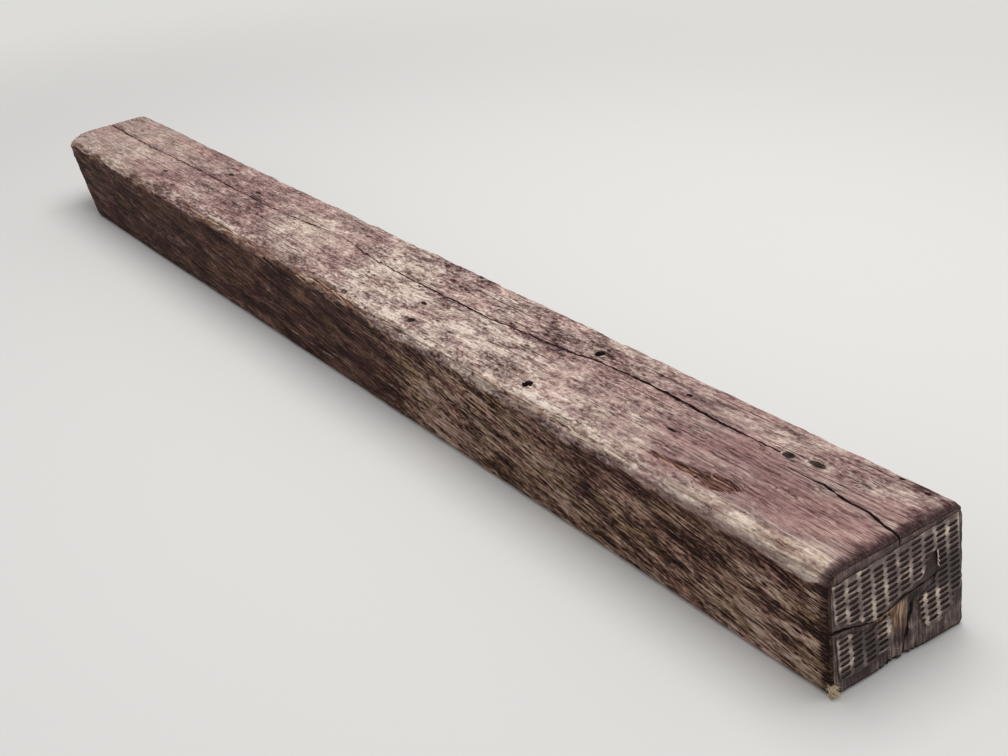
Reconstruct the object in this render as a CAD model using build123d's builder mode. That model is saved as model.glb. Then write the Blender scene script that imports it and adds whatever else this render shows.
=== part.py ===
from build123d import *
import os

# Railway sleeper: a used, creosoted hardwood crosstie lying flat on its wide face.
# One end carries a toothed anti-split plate that has torn along a split in the timber.
# Millimetres. +X runs along the length toward the plated end, -Y is the front long side,
# +Z is up. The origin is the middle of the underside.

# Timber
overall_length = 2743.0
width = 229.0
thickness = 178.0
front_top_arris_radius = 16.0
back_top_arris_radius = 9.0
bottom_arris_radius = 7.0
end_edge_radius = 4.0
overcut = 5.0

# End plate, measured from the front side and down from the top face
plate_thickness = 1.2
plate_from_front = 11.0
plate_below_top = 16.0
plate_width = 208.0
plate_height = 138.0
plate_tilt = 3.0
slot_length = 15.2
slot_height = 4.0
column_pitch = 20.8
row_pitch = 8.4
column_margin = 10.4
row_margin = 6.0
tear_margin = 1.6

# Teeth, one pressed inward from each end of a slot
tooth_height = 2.8
tooth_thickness = 1.1
tooth_length = 8.5
tooth_tip = 0.5
pocket_clearance = 0.15

# Curled tongue of torn plate
curl_radius = 6.5
curl_width = 20.0
curl_drop = 48.0

plated_end = overall_length / 2 - plate_thickness / 2 - curl_radius
far_end = -overall_length / 2
timber_length = plated_end - far_end

plate_middle_offset = plate_from_front + plate_width / 2
plate_middle_drop = plate_below_top + plate_height / 2

# Torn outlines that cut the plate's rectangle: (from the front side, below the top face)
plate_right = plate_from_front + plate_width
plate_bottom = plate_below_top + plate_height
curl_root = plate_right - 38.0
tear_overrun = 17.0
plate_tear = [
    (plate_from_front - tear_overrun, plate_below_top - tear_overrun),
    (plate_right + tear_overrun, plate_below_top - tear_overrun),
    (plate_right + tear_overrun, plate_bottom - 46.0),
    (plate_right - 8.0, plate_bottom - 32.0),
    (plate_right - 15.0, plate_bottom - 12.0),
    (plate_right - 41.0, plate_bottom - 3.0),
    (plate_right - 61.0, plate_bottom - 5.0),
    (plate_right - 70.0, plate_bottom - 24.0),
    (plate_right - 72.0, plate_bottom - 50.0),
    (plate_right - 59.0, 97.0),
    (plate_right - 45.0, 86.0),
    (curl_root, curl_drop + curl_width + 4.0),
    (curl_root, curl_drop - 2.0),
    (plate_right - 43.0, 44.0),
    (plate_right - 55.0, 52.0),
    (plate_right - 59.0, 66.0),
    (plate_right - 67.0, 76.0),
    (plate_right - 77.0, 80.0),
    (plate_right - 104.0, 84.0),
    (plate_from_front + 79.0, 91.0),
    (plate_from_front + 69.0, 98.0),
    (plate_from_front + 53.0, 98.0),
    (plate_from_front + 41.0, 90.0),
    (plate_from_front + 23.0, 85.0),
    (plate_from_front + 9.0, 78.0),
    (plate_from_front - tear_overrun, 74.0),
]
fragment_tear = [
    (plate_from_front - tear_overrun, 92.0),
    (plate_from_front + 19.0, 96.0),
    (plate_from_front + 39.0, 104.0),
    (plate_from_front + 59.0, 107.0),
    (plate_from_front + 81.0, 102.0),
    (plate_from_front + 92.0, 106.0),
    (plate_from_front + 91.0, 126.0),
    (plate_from_front + 88.0, plate_bottom - 6.0),
    (plate_from_front + 66.0, plate_bottom - 2.0),
    (plate_from_front + 49.0, plate_bottom + tear_overrun),
    (plate_from_front - tear_overrun, plate_bottom + tear_overrun),
]

# Drying checks in the top face: (from the plated end, from the front side, gap)
check_depth = 34.0
check_mouth_depth = 5.0
check_mouth_extra = 3.0
main_check = [
    (timber_length + overcut, 131.0, 5.0),
    (timber_length - 162.0, 127.0, 4.0),
    (timber_length - 330.0, 127.0, 3.0),
    (timber_length - 656.0, 130.0, 3.5),
    (1766.0, 127.0, 3.0),
    (1601.0, 137.0, 3.0),
    (1471.0, 147.0, 2.5),
    (1326.0, 133.0, 3.0),
    (1180.0, 127.0, 4.0),
    (1045.0, 129.0, 4.0),
    (910.0, 130.0, 4.5),
    (755.0, 142.0, 4.0),
    (678.0, 149.0, 5.0),
    (650.0, 157.0, 4.5),
    (569.0, 160.0, 5.0),
    (487.0, 161.0, 6.0),
    (417.0, 158.0, 5.0),
    (367.0, 155.0, 4.0),
    (245.0, 156.0, 1.2),
]
end_check = [
    (212.0, 135.0, 1.2),
    (145.0, 137.0, 4.0),
    (92.0, 129.0, 5.0),
    (61.0, 129.0, 4.0),
    (35.0, 123.0, 5.0),
    (-overcut, 117.0, 6.0),
]

# Knots with loose bark pockets: (from the plated end, from the front side, long, wide)
knot_depth = 9.0
knots = [
    (232.0, 158.0, 30.0, 12.0),
    (191.0, 167.0, 26.0, 10.0),
]

# Splintered gouge beside the front top arris
gouge_depth = 5.0
gouge_outline = [
    (396.0, 52.0),
    (350.0, 44.0),
    (290.0, 40.0),
    (238.0, 52.0),
    (262.0, 60.0),
    (305.0, 64.0),
    (352.0, 60.0),
]

# Chips out of the front top arris: (from the plated end, bite off the sharp corner, scoop radius)
arris_chips = [
    (1800.0, 11.0, 420.0),
    (1625.0, 15.0, 300.0),
    (1330.0, 12.5, 240.0),
    (1250.0, 15.5, 420.0),
    (1030.0, 11.0, 300.0),
    (620.0, 9.0, 300.0),
    (520.0, 10.0, 360.0),
]
chip_cutter_length = 120.0

# Spike holes of one rail seat
spike_hole_radius = 9.5
spike_hole_depth = 127.0
spike_from_end = 665.0
spike_from_front = 39.0
spike_spacing = 134.0

# Split across the plated end: (from the front side, below the top face, gap)
split_depth = 186.0
split_closed_gap = 0.8
end_split = [
    (-overcut, 89.0, 5.5),
    (14.0, 86.0, 5.0),
    (34.0, 91.0, 4.5),
    (52.0, 97.0, 4.5),
    (78.0, 99.0, 5.0),
    (100.0, 95.0, 4.5),
    (122.0, 89.0, 4.5),
    (146.0, 86.0, 4.0),
    (170.0, 84.0, 3.0),
    (196.0, 82.0, 1.6),
]

# Upright checks below the split: (from the front side, below the top face, gap)
upright_check_depth = 80.0
upright_check = [
    (139.0, 98.0, 2.5),
    (134.0, 122.0, 4.5),
    (129.0, 150.0, 4.0),
    (123.0, thickness + overcut, 5.0),
]
short_check_depth = 45.0
short_check = [
    (103.0, 108.0, 1.5),
    (100.0, 130.0, 3.0),
    (97.0, 152.0, 2.5),
    (94.0, thickness + overcut, 3.0),
]

# Wood broken out below the plate
spall_depth = 3.0
spall_outline = [
    (106.0, 107.0),
    (122.0, 98.0),
    (143.0, 100.0),
    (144.0, 130.0),
    (152.0, 148.0),
    (150.0, thickness + overcut),
    (72.0, thickness + overcut),
    (92.0, 150.0),
    (103.0, 127.0),
]

# Decayed lower front corner at the far end
worn_top_run = 34.0
worn_top_reach = 70.0
worn_bottom_run = 150.0
worn_bottom_reach = 150.0

# Checks in the bare far end: (from the front side, below the top face, gap)
far_check_depth = 60.0
far_checks = [
    [(131.0, 30.0, 4.0), (124.0, 62.0, 3.0), (118.0, 92.0, 1.2)],
    [(116.0, 96.0, 1.2), (150.0, 112.0, 2.5), (190.0, 124.0, 1.0)],
    [(112.0, 98.0, 1.2), (96.0, 124.0, 2.4), (84.0, 150.0, 1.0)],
]


def along(distance):
    return plated_end - distance


def across(distance):
    return distance - width / 2


def height(drop):
    return thickness - drop


def in_plan(points):
    return [(along(distance), across(offset)) for distance, offset in points]


def on_end(points):
    return [(across(offset), height(drop)) for offset, drop in points]


def plan_slit(path, extra):
    one_side = [(distance, offset + (gap + extra) / 2) for distance, offset, gap in path]
    other_side = [(distance, offset - (gap + extra) / 2) for distance, offset, gap in path]
    return in_plan(one_side + other_side[::-1])


def level_slit(path, share):
    upper = [(offset, drop - gap * share / 2) for offset, drop, gap in path]
    lower = [(offset, drop + gap * share / 2) for offset, drop, gap in path]
    return on_end(upper + lower[::-1])


def upright_slit(path, share):
    one_side = [(offset + gap * share / 2, drop) for offset, drop, gap in path]
    other_side = [(offset - gap * share / 2, drop) for offset, drop, gap in path]
    return on_end(one_side + other_side[::-1])


def is_inside(outline, point):
    # Even-odd rule on the torn outline
    crossings = 0
    for (y1, z1), (y2, z2) in zip(outline, outline[1:] + outline[:1]):
        if (z1 > point[1]) != (z2 > point[1]):
            edge_y = y1 + (point[1] - z1) * (y2 - y1) / (z2 - z1)
            crossings += point[0] < edge_y
    return crossings % 2 == 1


def turned_on_plate(right, rise):
    # A place given from the plate's middle, along its own tilted edges
    turned = Vector(right, rise).rotate(Axis.Z, plate_tilt)
    return (plate_middle_offset + turned.X, plate_middle_drop - turned.Y)


def is_clear(outline, centre, half_long, half_high):
    corners = [
        turned_on_plate(centre[0] + side * half_long, centre[1] + rise * half_high)
        for side in (-1, 1)
        for rise in (-1, 1)
    ]
    return all(is_inside(outline, corner) for corner in corners)


# Slot centres of the whole plate from its middle, alternate columns half a row lower
slot_centres = []
column_count = int((plate_width - 2 * column_margin) / column_pitch) + 1
row_count = int((plate_height - 2 * row_margin) / row_pitch) + 1
for column in range(column_count):
    staggered = column % 2
    for row in range(row_count - staggered):
        slot_centres.append(
            (
                column_margin + column * column_pitch - plate_width / 2,
                plate_height / 2 - row_margin - (row + staggered / 2) * row_pitch,
            )
        )


def slots_on(outline):
    half_long = slot_length / 2 + tear_margin
    half_high = slot_height / 2 + tear_margin
    return [c for c in slot_centres if is_clear(outline, c, half_long, half_high)]


def tooth_roots(slots):
    reach = (slot_length + tooth_thickness) / 2
    return [turned_on_plate(right + side * reach, rise) for right, rise in slots for side in (-1, 1)]


def tooth_locations(roots):
    turn = (plate_tilt, 0, 0)
    return [Location((plated_end, across(offset), height(drop)), turn) for offset, drop in roots]


plate_middle = (across(plate_middle_offset), height(plate_middle_drop))
plate_slots = slots_on(plate_tear)
fragment_slots = slots_on(fragment_tear)

# One tooth, a flat tapered spike that starts inside the sheet
with BuildPart() as tooth:
    with BuildSketch(Plane.XZ):
        with BuildLine():
            Polyline(
                (plate_thickness / 2, -tooth_height / 2),
                (plate_thickness / 2, tooth_height / 2),
                (-tooth_length, tooth_tip / 2),
                (-tooth_length, -tooth_tip / 2),
                close=True,
            )
        make_face()
    extrude(amount=tooth_thickness / 2, both=True)

# The pocket one tooth has pressed into the timber
with BuildPart() as pocket:
    with BuildSketch(Plane.XZ):
        with BuildLine():
            Polyline(
                (plate_thickness / 2, -tooth_height / 2 - pocket_clearance),
                (plate_thickness / 2, tooth_height / 2 + pocket_clearance),
                (-tooth_length - pocket_clearance, tooth_tip / 2 + pocket_clearance),
                (-tooth_length - pocket_clearance, -tooth_tip / 2 - pocket_clearance),
                close=True,
            )
        make_face()
    extrude(amount=tooth_thickness / 2 + pocket_clearance, both=True)

# Timber
with BuildPart() as timber:
    with BuildSketch(Plane.YZ.offset(far_end)) as section:
        with Locations((0, thickness / 2)):
            Rectangle(width, thickness)
        top_corners = section.vertices().group_by(Axis.Y)[-1].sort_by(Axis.X)
        fillet(top_corners[0], front_top_arris_radius)
        top_corners = section.vertices().group_by(Axis.Y)[-1].sort_by(Axis.X)
        fillet(top_corners[-1], back_top_arris_radius)
        fillet(section.vertices().group_by(Axis.Y)[0], bottom_arris_radius)
    extrude(amount=timber_length)
    for end_face in (faces().sort_by(Axis.X)[0], faces().sort_by(Axis.X)[-1]):
        fillet(end_face.edges(), end_edge_radius)

    # Chips out of the front top arris
    front_arris = Plane(
        origin=(0, -width / 2, thickness),
        x_dir=(1, 0, 0),
        z_dir=(0, -1, -1),
    )
    with BuildSketch(front_arris.offset(-chip_cutter_length / 2)):
        for distance, bite, scoop_radius in arris_chips:
            with Locations((along(distance), scoop_radius - bite)):
                Circle(scoop_radius)
    extrude(amount=chip_cutter_length, mode=Mode.SUBTRACT)

    # Long drying checks, each with a wider splintered mouth
    for path in (main_check, end_check):
        for extra, depth in ((0, check_depth), (check_mouth_extra, check_mouth_depth)):
            with BuildSketch(Plane.XY.offset(thickness)):
                with BuildLine():
                    Polyline(*plan_slit(path, extra), close=True)
                make_face()
            extrude(amount=-depth, mode=Mode.SUBTRACT)

    # Knots and gouge
    for distance, offset, long_axis, wide_axis in knots:
        with BuildSketch(Plane.XY.offset(thickness)):
            with Locations((along(distance), across(offset))):
                Ellipse(long_axis / 2, wide_axis / 2)
        extrude(amount=-knot_depth, taper=25, mode=Mode.SUBTRACT)
    with BuildSketch(Plane.XY.offset(thickness)):
        with BuildLine():
            Polyline(*in_plan(gouge_outline), close=True)
        make_face()
    extrude(amount=-gouge_depth, mode=Mode.SUBTRACT)

    # Spike holes, blind, left open where the spikes were drawn
    spike_centre = (along(spike_from_end), across(spike_from_front + spike_spacing / 2))
    with BuildSketch(Plane.XY.offset(thickness)):
        with Locations(spike_centre):
            with GridLocations(0, spike_spacing, 1, 2):
                Circle(spike_hole_radius)
    extrude(amount=-spike_hole_depth, mode=Mode.SUBTRACT)

    # Split across the plated end, closing up inside the timber
    with BuildSketch(Plane.YZ.offset(plated_end + overcut)):
        with BuildLine():
            Polyline(*level_slit(end_split, 1), close=True)
        make_face()
    closed_share = split_closed_gap / max(gap for _, _, gap in end_split)
    with BuildSketch(Plane.YZ.offset(plated_end - split_depth)):
        with BuildLine():
            Polyline(*level_slit(end_split, closed_share), close=True)
        make_face()
    loft(ruled=True, mode=Mode.SUBTRACT)

    # Upright checks below the split
    for path, depth in ((upright_check, upright_check_depth), (short_check, short_check_depth)):
        with BuildSketch(Plane.YZ.offset(plated_end)):
            with BuildLine():
                Polyline(*upright_slit(path, 1), close=True)
            make_face()
        extrude(amount=-depth, mode=Mode.SUBTRACT)

    # Wood broken out between the torn plate pieces
    with BuildSketch(Plane.YZ.offset(plated_end)):
        with BuildLine():
            Polyline(*on_end(spall_outline), close=True)
        make_face()
    extrude(amount=-spall_depth, mode=Mode.SUBTRACT)

    # Decayed lower front corner of the far end
    for level, run, reach in (
        (-overcut, worn_bottom_run, worn_bottom_reach),
        (thickness + overcut, worn_top_run, worn_top_reach),
    ):
        corner_x = far_end - overcut
        corner_y = -width / 2 - overcut
        with BuildSketch(Plane.XY.offset(level)):
            with BuildLine():
                Polyline(
                    (corner_x, corner_y),
                    (corner_x + run, corner_y),
                    (corner_x, corner_y + reach),
                    close=True,
                )
            make_face()
    loft(ruled=True, mode=Mode.SUBTRACT)

    # Checks in the bare far end
    for path in far_checks:
        with BuildSketch(Plane.YZ.offset(far_end)):
            with BuildLine():
                Polyline(*upright_slit(path, 1), close=True)
            make_face()
        extrude(amount=far_check_depth, mode=Mode.SUBTRACT)

    # Pockets pressed by the teeth
    with Locations(*tooth_locations(tooth_roots(plate_slots + fragment_slots))):
        add(pocket.part, mode=Mode.SUBTRACT)
timber.part.label = "timber"

# Main part of the end plate, with its punched slots, teeth and curled tongue
with BuildPart() as end_plate:
    with BuildSketch(Plane.YZ.offset(plated_end)):
        with BuildLine():
            Polyline(*on_end(plate_tear), close=True)
        make_face()
        with Locations(plate_middle):
            Rectangle(plate_width, plate_height, rotation=plate_tilt, mode=Mode.INTERSECT)
        with Locations(*on_end([turned_on_plate(*slot) for slot in plate_slots])):
            Rectangle(slot_length, slot_height, rotation=plate_tilt, mode=Mode.SUBTRACT)
    extrude(amount=plate_thickness)
    with Locations(*tooth_locations(tooth_roots(plate_slots))):
        add(tooth.part)
    with BuildSketch(Plane.XY.offset(height(curl_drop + curl_width))):
        with BuildLine():
            centre = (plated_end + plate_thickness / 2 + curl_radius, across(curl_root))
            inner = CenterArc(centre, curl_radius - plate_thickness / 2, 180, 90)
            outer = CenterArc(centre, curl_radius + plate_thickness / 2, 180, 90)
            Line(inner @ 0, outer @ 0)
            Line(inner @ 1, outer @ 1)
        make_face()
    extrude(amount=curl_width)
end_plate.part.label = "end_plate"

# Lower piece of the end plate, torn off along the split
with BuildPart() as end_plate_fragment:
    with BuildSketch(Plane.YZ.offset(plated_end)):
        with BuildLine():
            Polyline(*on_end(fragment_tear), close=True)
        make_face()
        with Locations(plate_middle):
            Rectangle(plate_width, plate_height, rotation=plate_tilt, mode=Mode.INTERSECT)
        with Locations(*on_end([turned_on_plate(*slot) for slot in fragment_slots])):
            Rectangle(slot_length, slot_height, rotation=plate_tilt, mode=Mode.SUBTRACT)
    extrude(amount=plate_thickness)
    with Locations(*tooth_locations(tooth_roots(fragment_slots))):
        add(tooth.part)
end_plate_fragment.part.label = "end_plate_fragment"

os.makedirs("parts", exist_ok=True)
export_step(timber.part, "parts/timber.step")
export_step(end_plate.part, "parts/end_plate.step")
export_step(end_plate_fragment.part, "parts/end_plate_fragment.step")
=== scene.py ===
"""A used, creosoted hardwood railway sleeper with a torn, toothed end plate."""

import math

import bmesh
import bpy
import numpy as np
from mathutils import Matrix, Vector


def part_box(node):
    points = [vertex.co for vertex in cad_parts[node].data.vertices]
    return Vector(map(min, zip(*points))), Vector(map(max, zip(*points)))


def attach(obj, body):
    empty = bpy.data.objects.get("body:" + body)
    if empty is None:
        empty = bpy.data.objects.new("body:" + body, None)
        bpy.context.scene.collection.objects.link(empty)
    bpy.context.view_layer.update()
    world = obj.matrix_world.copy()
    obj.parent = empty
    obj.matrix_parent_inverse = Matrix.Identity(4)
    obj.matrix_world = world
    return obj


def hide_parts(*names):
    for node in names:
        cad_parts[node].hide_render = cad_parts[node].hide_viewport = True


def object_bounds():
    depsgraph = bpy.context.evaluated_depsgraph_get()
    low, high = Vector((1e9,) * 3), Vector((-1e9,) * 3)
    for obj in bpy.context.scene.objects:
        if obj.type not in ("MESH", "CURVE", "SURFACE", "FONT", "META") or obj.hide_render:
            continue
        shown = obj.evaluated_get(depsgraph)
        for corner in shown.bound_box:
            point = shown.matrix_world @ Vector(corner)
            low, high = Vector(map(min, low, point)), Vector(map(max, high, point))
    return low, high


bl_info = {
    "name": "Railway sleeper",
    "version": (1, 0, 0),
    "blender": (4, 5, 0),
    "location": "3D View > Sidebar > Sleeper",
    "description": "Dresses a weathered hardwood sleeper and its torn end plate",
    "category": "Object",
}

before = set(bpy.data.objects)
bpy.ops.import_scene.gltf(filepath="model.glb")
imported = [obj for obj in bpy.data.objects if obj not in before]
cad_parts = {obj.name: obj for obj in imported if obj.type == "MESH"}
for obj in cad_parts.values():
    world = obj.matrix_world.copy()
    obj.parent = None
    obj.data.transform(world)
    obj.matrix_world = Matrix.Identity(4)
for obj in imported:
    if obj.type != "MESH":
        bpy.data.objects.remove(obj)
cad_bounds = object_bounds()
MM = 0.001
TIMBER_LOW, TIMBER_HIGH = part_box("timber")
PLATED_END = TIMBER_HIGH.x
FAR_END = TIMBER_LOW.x
LENGTH = PLATED_END - FAR_END
HALF_WIDTH = TIMBER_HIGH.y
THICKNESS = TIMBER_HIGH.z
BLOCK_LOW = np.array(TIMBER_LOW)
BLOCK_HIGH = np.array(TIMBER_HIGH)

# Corner radii of the section, as on the solid
FRONT_TOP_RADIUS = 0.016
BACK_TOP_RADIUS = 0.009
BOTTOM_RADIUS = 0.007
END_RADIUS = 0.004

# Drying checks in the top: (mm from the plated end, mm from the front side, gap in mm)
MAIN_CHECK = [
    (LENGTH / MM + 5, 131, 5.0), (LENGTH / MM - 162, 127, 4.0), (LENGTH / MM - 330, 127, 3.0),
    (LENGTH / MM - 656, 130, 3.5), (1766, 127, 3.0), (1601, 137, 3.0), (1471, 147, 2.5),
    (1326, 133, 3.0), (1180, 127, 4.0), (1045, 129, 4.0), (910, 130, 4.5), (755, 142, 4.0),
    (678, 149, 5.0), (650, 157, 4.5), (569, 160, 5.0), (487, 161, 6.0), (417, 158, 5.0),
    (367, 155, 4.5), (245, 157, 3.0),
]
END_CHECK = [
    (212, 137, 2.2), (145, 137, 4.0), (92, 129, 5.0), (61, 129, 4.0), (35, 123, 5.0),
    (-5, 117, 6.0),
]
CHECK_DEPTH = 34

# Short checks of the top: (from, to, mm from the front side, gap)
SHORT_CHECKS = [
    (430, 700, 138, 1.6), (330, 392, 129, 1.8), (470, 540, 83, 1.4), (60, 170, 172, 1.2),
    (20, 150, 186, 1.2), (90, 240, 198, 1.3), (780, 905, 150, 1.6), (1075, 1240, 112, 1.4),
    (1500, 1720, 150, 1.8), (1900, 2080, 96, 1.8), (2120, 2380, 158, 2.0),
]

# Split and upright checks on the plated end: (mm from the front side, mm below the top, gap)
END_SPLIT = [
    (-5, 89, 5.5), (14, 86, 5.0), (34, 91, 4.5), (52, 97, 4.5), (78, 99, 5.0), (100, 95, 4.5),
    (122, 89, 4.5), (146, 86, 4.0), (170, 84, 3.0), (196, 82, 1.6),
]
SPLIT_DEPTH = 186
UPRIGHT_CHECKS = [
    ([(139, 98, 2.5), (134, 122, 4.5), (129, 150, 4.0), (123, 184, 5.0)], 80),
    ([(103, 108, 1.5), (100, 130, 3.0), (97, 152, 2.5), (94, 184, 3.0)], 45),
]
FAR_CHECKS = [
    [(131, 30, 4.0), (124, 62, 3.0), (118, 92, 1.2)],
    [(116, 96, 1.2), (150, 112, 2.5), (190, 124, 1.0)],
    [(112, 98, 1.2), (96, 124, 2.4), (84, 150, 1.0)],
]
FAR_CHECK_DEPTH = 60

# Single features of the top: mm from the plated end, mm from the front side, then sizes
SPIKE_HOLES = [(665, 39), (665, 173)]
SPIKE_HOLE_RADIUS = 9.0
SPIKE_HOLE_DEPTH = 127
KNOTS = [(232, 159, 14, 10), (187, 167, 19, 8)]
KNOT_DEPTH = 6
PITS = [
    (1010, 37, 11, 9), (1054, 88, 12, 5), (457, 179, 8, 5), (396, 96, 14, 3),
    (2040, 165, 16, 7), (1868, 152, 18, 6), (2210, 74, 14, 6), (90, 216, 9, 4), (42, 210, 7, 4),
]
GOUGE_LINE = (322, 42, 68, 8)
GOUGE_SCOOP = (246, 49, 38, 16)
ARRIS_CHIPS = [
    (1800, 11, 420), (1625, 15, 300), (1330, 12.5, 240), (1250, 15.5, 420), (1030, 11, 300),
    (620, 9, 300), (520, 10, 360),
]
WORN_CORNER = {"top": (34, 70), "bottom": (150, 150)}

# The toothed plate, mm: its box seen from the end, its slots and how it sits
PLATE = {
    "left": 11,
    "top": 16,
    "width": 208,
    "height": 138,
    "thickness": 1.2,
    "tilt": 3.0,
    "column_pitch": 20.8,
    "row_pitch": 8.4,
    "row_margin": 1.8,
}
CURL = {"root": 181, "drop": 47, "width": 23, "radius": 4.6, "sweep": 118}
CELLS_PER_COLUMN = 8
CELLS_PER_ROW = 4

# Torn outlines: (mm from the front side, mm below the top face)
PLATE_TEAR = [
    (-6, -6), (236, -6), (236, 108), (211, 122), (204, 142), (178, 151), (158, 149), (149, 130),
    (147, 104), (160, 97), (174, 86), (182, 76), (181, 62), (182, 47), (176, 45), (164, 52),
    (160, 66), (152, 76), (142, 80), (115, 84), (90, 91), (80, 98), (64, 98), (52, 90),
    (34, 85), (20, 78), (-6, 74),
]
FRAGMENT_TEAR = [
    (-6, 92), (30, 96), (50, 104), (70, 107), (92, 102), (103, 106), (102, 126), (99, 148),
    (77, 152), (60, 171), (-6, 171),
]

# Zones where bare fibre shows more or less: mm from the plated end, mm from the front side
# or below the top, half sizes, change
BARE_ON_TOP = [
    (20, 60, 60, 40, 0.10), (30, 22, 70, 18, 0.35), (120, 70, 120, 45, -0.22),
    (110, 185, 120, 30, 0.05), (260, 120, 150, 26, -0.30), (340, 95, 70, 30, -0.16),
    (470, 75, 70, 42, 0.21), (560, 60, 50, 34, -0.05), (620, 60, 80, 30, 0.02),
    (620, 138, 160, 22, -0.06), (800, 145, 110, 22, -0.22), (840, 80, 150, 55, 0.42),
    (930, 180, 80, 30, 0.22), (1060, 150, 60, 45, -0.28), (1160, 80, 150, 60, 0.42),
    (1300, 160, 110, 45, 0.28), (1420, 60, 60, 40, -0.12), (1560, 110, 140, 70, 0.25),
    (1720, 60, 90, 50, -0.25), (1900, 150, 90, 50, -0.22), (2060, 140, 90, 50, -0.20),
    (2180, 60, 110, 50, -0.10), (2480, 100, 220, 110, 0.25), (54, 218, 22, 9, -0.55),
    (25, 179, 12, 16, -0.40), (12, 36, 16, 20, -0.25), (395, 97, 22, 6, -0.40),
    (457, 173, 10, 7, -0.40), (493, 86, 12, 6, -0.30), (614, 79, 10, 6, -0.35),
    (453, 15, 6, 12, -0.35), (778, 94, 14, 6, -0.45), (868, 88, 14, 14, -0.40),
    (1060, 88, 10, 18, -0.35), (591, 179, 7, 6, 0.80), (664, 129, 8, 5, 0.60),
    (210, 162, 9, 5, 0.45),
]
# Painted shade in hollows, and paler wood, on the plated end: mm across, mm below the top, half
# sizes, change
MARKS_ON_END = [
    (171, 62, 14, 18, -0.95), (136, 96, 22, 7, -0.30), (60, 128, 20, 22, -0.12),
    (172, 128, 30, 26, -0.06), (205, 100, 16, 30, 0.06), (4, 60, 8, 60, 0.16),
]
BARE_ON_SIDE = [
    (70, 60, 110, 30, 0.34), (60, 145, 150, 40, 0.47), (200, 160, 90, 30, 0.25),
    (330, 90, 130, 40, -0.02), (330, 165, 110, 20, 0.10), (560, 125, 150, 50, 0.22),
    (700, 60, 120, 30, 0.25), (880, 110, 130, 60, 0.50), (1150, 90, 150, 70, -0.20),
    (1450, 90, 150, 70, -0.22), (1800, 110, 70, 40, 0.32), (2100, 60, 90, 50, 0.15),
    (2450, 90, 200, 90, -0.20),
]

# Grain layers of the weathered face: cell length and width in mm, detail, roughness
FACE_GRAIN = {
    "cloud": (110, 55, 2.0, 0.50),
    "patch": (80, 34, 4.0, 0.62),
    "tuft": (34, 12, 3.0, 0.60),
    "stroke": (22, 6.0, 3.0, 0.60),
    "fleck": (7.5, 4.0, 3.0, 0.60),
    "fibre": (120, 2.6, 2.0, 0.50),
    "line": (150, 7.0, 2.5, 0.55),
    "broken": (60, 16, 2.0, 0.50),
}

# Sizes in mm that stand in no table
PLATED_REACH = 100
PIT_DEPTH = 7
RING_PITCH = 3.2
PITH = (0.0, 0.012, 0.060)
TONGUE_THICKNESS = 0.9
TONGUE_EDGE = 0.25
SHEET_EDGE = 0.22

# Where slivers stand: (mm from the plated end, spread in mm, how many)
SPLINTERED = ((1800, 60, 60), (1625, 60, 70), (1255, 80, 110), (620, 60, 24))
FRAYED_COUNT = 110

# The stage, in metres and degrees
FLOOR_SIZE = 30
SOFTBOX_PLACE = (0.4, 0.9, 4.0)
SOFTBOX_AIM = (0.2, 0.0, 0.0)
SOFTBOX_SIZE = (4.0, 3.0)
CAMERA_PLACE = (2.435, -1.1076, 1.1699)
CAMERA_AIM = (0.5, 0.0, THICKNESS / 2)
CAMERA_LENS = 54.0
CAMERA_ROLL = -8.02


def along(distance):
    """Frame X of a distance in mm from the plated end."""
    return PLATED_END - distance * MM


def across(offset):
    """Frame Y of a distance in mm from the front side."""
    return offset * MM - HALF_WIDTH


def up(drop):
    """Frame Z of a distance in mm below the top face."""
    return THICKNESS - drop * MM


def srgb(code):
    """Linear colour of an sRGB hex code."""
    parts = [int(code[i:i + 2], 16) / 255 for i in (1, 3, 5)]
    linear = [c / 12.92 if c <= 0.04045 else ((c + 0.055) / 1.055) ** 2.4 for c in parts]
    return (*linear, 1.0)


def value_noise(points, cells, seed):
    """Smooth random field from 0 to 1 on points, with the given cell size on each axis."""
    scaled = points / np.array(cells)
    base = np.floor(scaled).astype(np.int64)
    t = scaled - base
    t = t * t * (3 - 2 * t)
    total = np.zeros(len(points))
    axes = points.shape[1]
    for corner in range(2 ** axes):
        offset = np.array([(corner >> axis) & 1 for axis in range(axes)])
        cell = base + offset
        key = np.full(len(points), seed * 7919 + 17, dtype=np.int64)
        for axis in range(axes):
            key = (key * 1103515245 + cell[:, axis] * 12345 + 1013904223) & 0x7FFFFFFF
            key = (key ^ (key >> 13)) * 69069 & 0x7FFFFFFF
        key ^= key >> 11
        random_value = (key & 0xFFFF) / 0xFFFF
        weight = np.prod(np.where(offset == 1, t, 1 - t), axis=1)
        total += weight * random_value
    return total


def layered_noise(points, cells, seed, octaves=3):
    """Value noise summed over octaves, from 0 to 1."""
    total, share, size = 0, 1.0, np.array(cells, float)
    whole = 0
    for octave in range(octaves):
        total = total + share * value_noise(points, size, seed + octave)
        whole += share
        share *= 0.55
        size = size / 2.03
    return total / whole


def smooth(low, high, value):
    """Smooth step from 0 at low to 1 at high."""
    t = np.clip((value - low) / (high - low), 0, 1)
    return t * t * (3 - 2 * t)


def section_view(co):
    """Distance from the plated end, from the front side and below the top, in mm."""
    return (PLATED_END - co[:, 0]) / MM, (co[:, 1] + HALF_WIDTH) / MM, (THICKNESS - co[:, 2]) / MM


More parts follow.
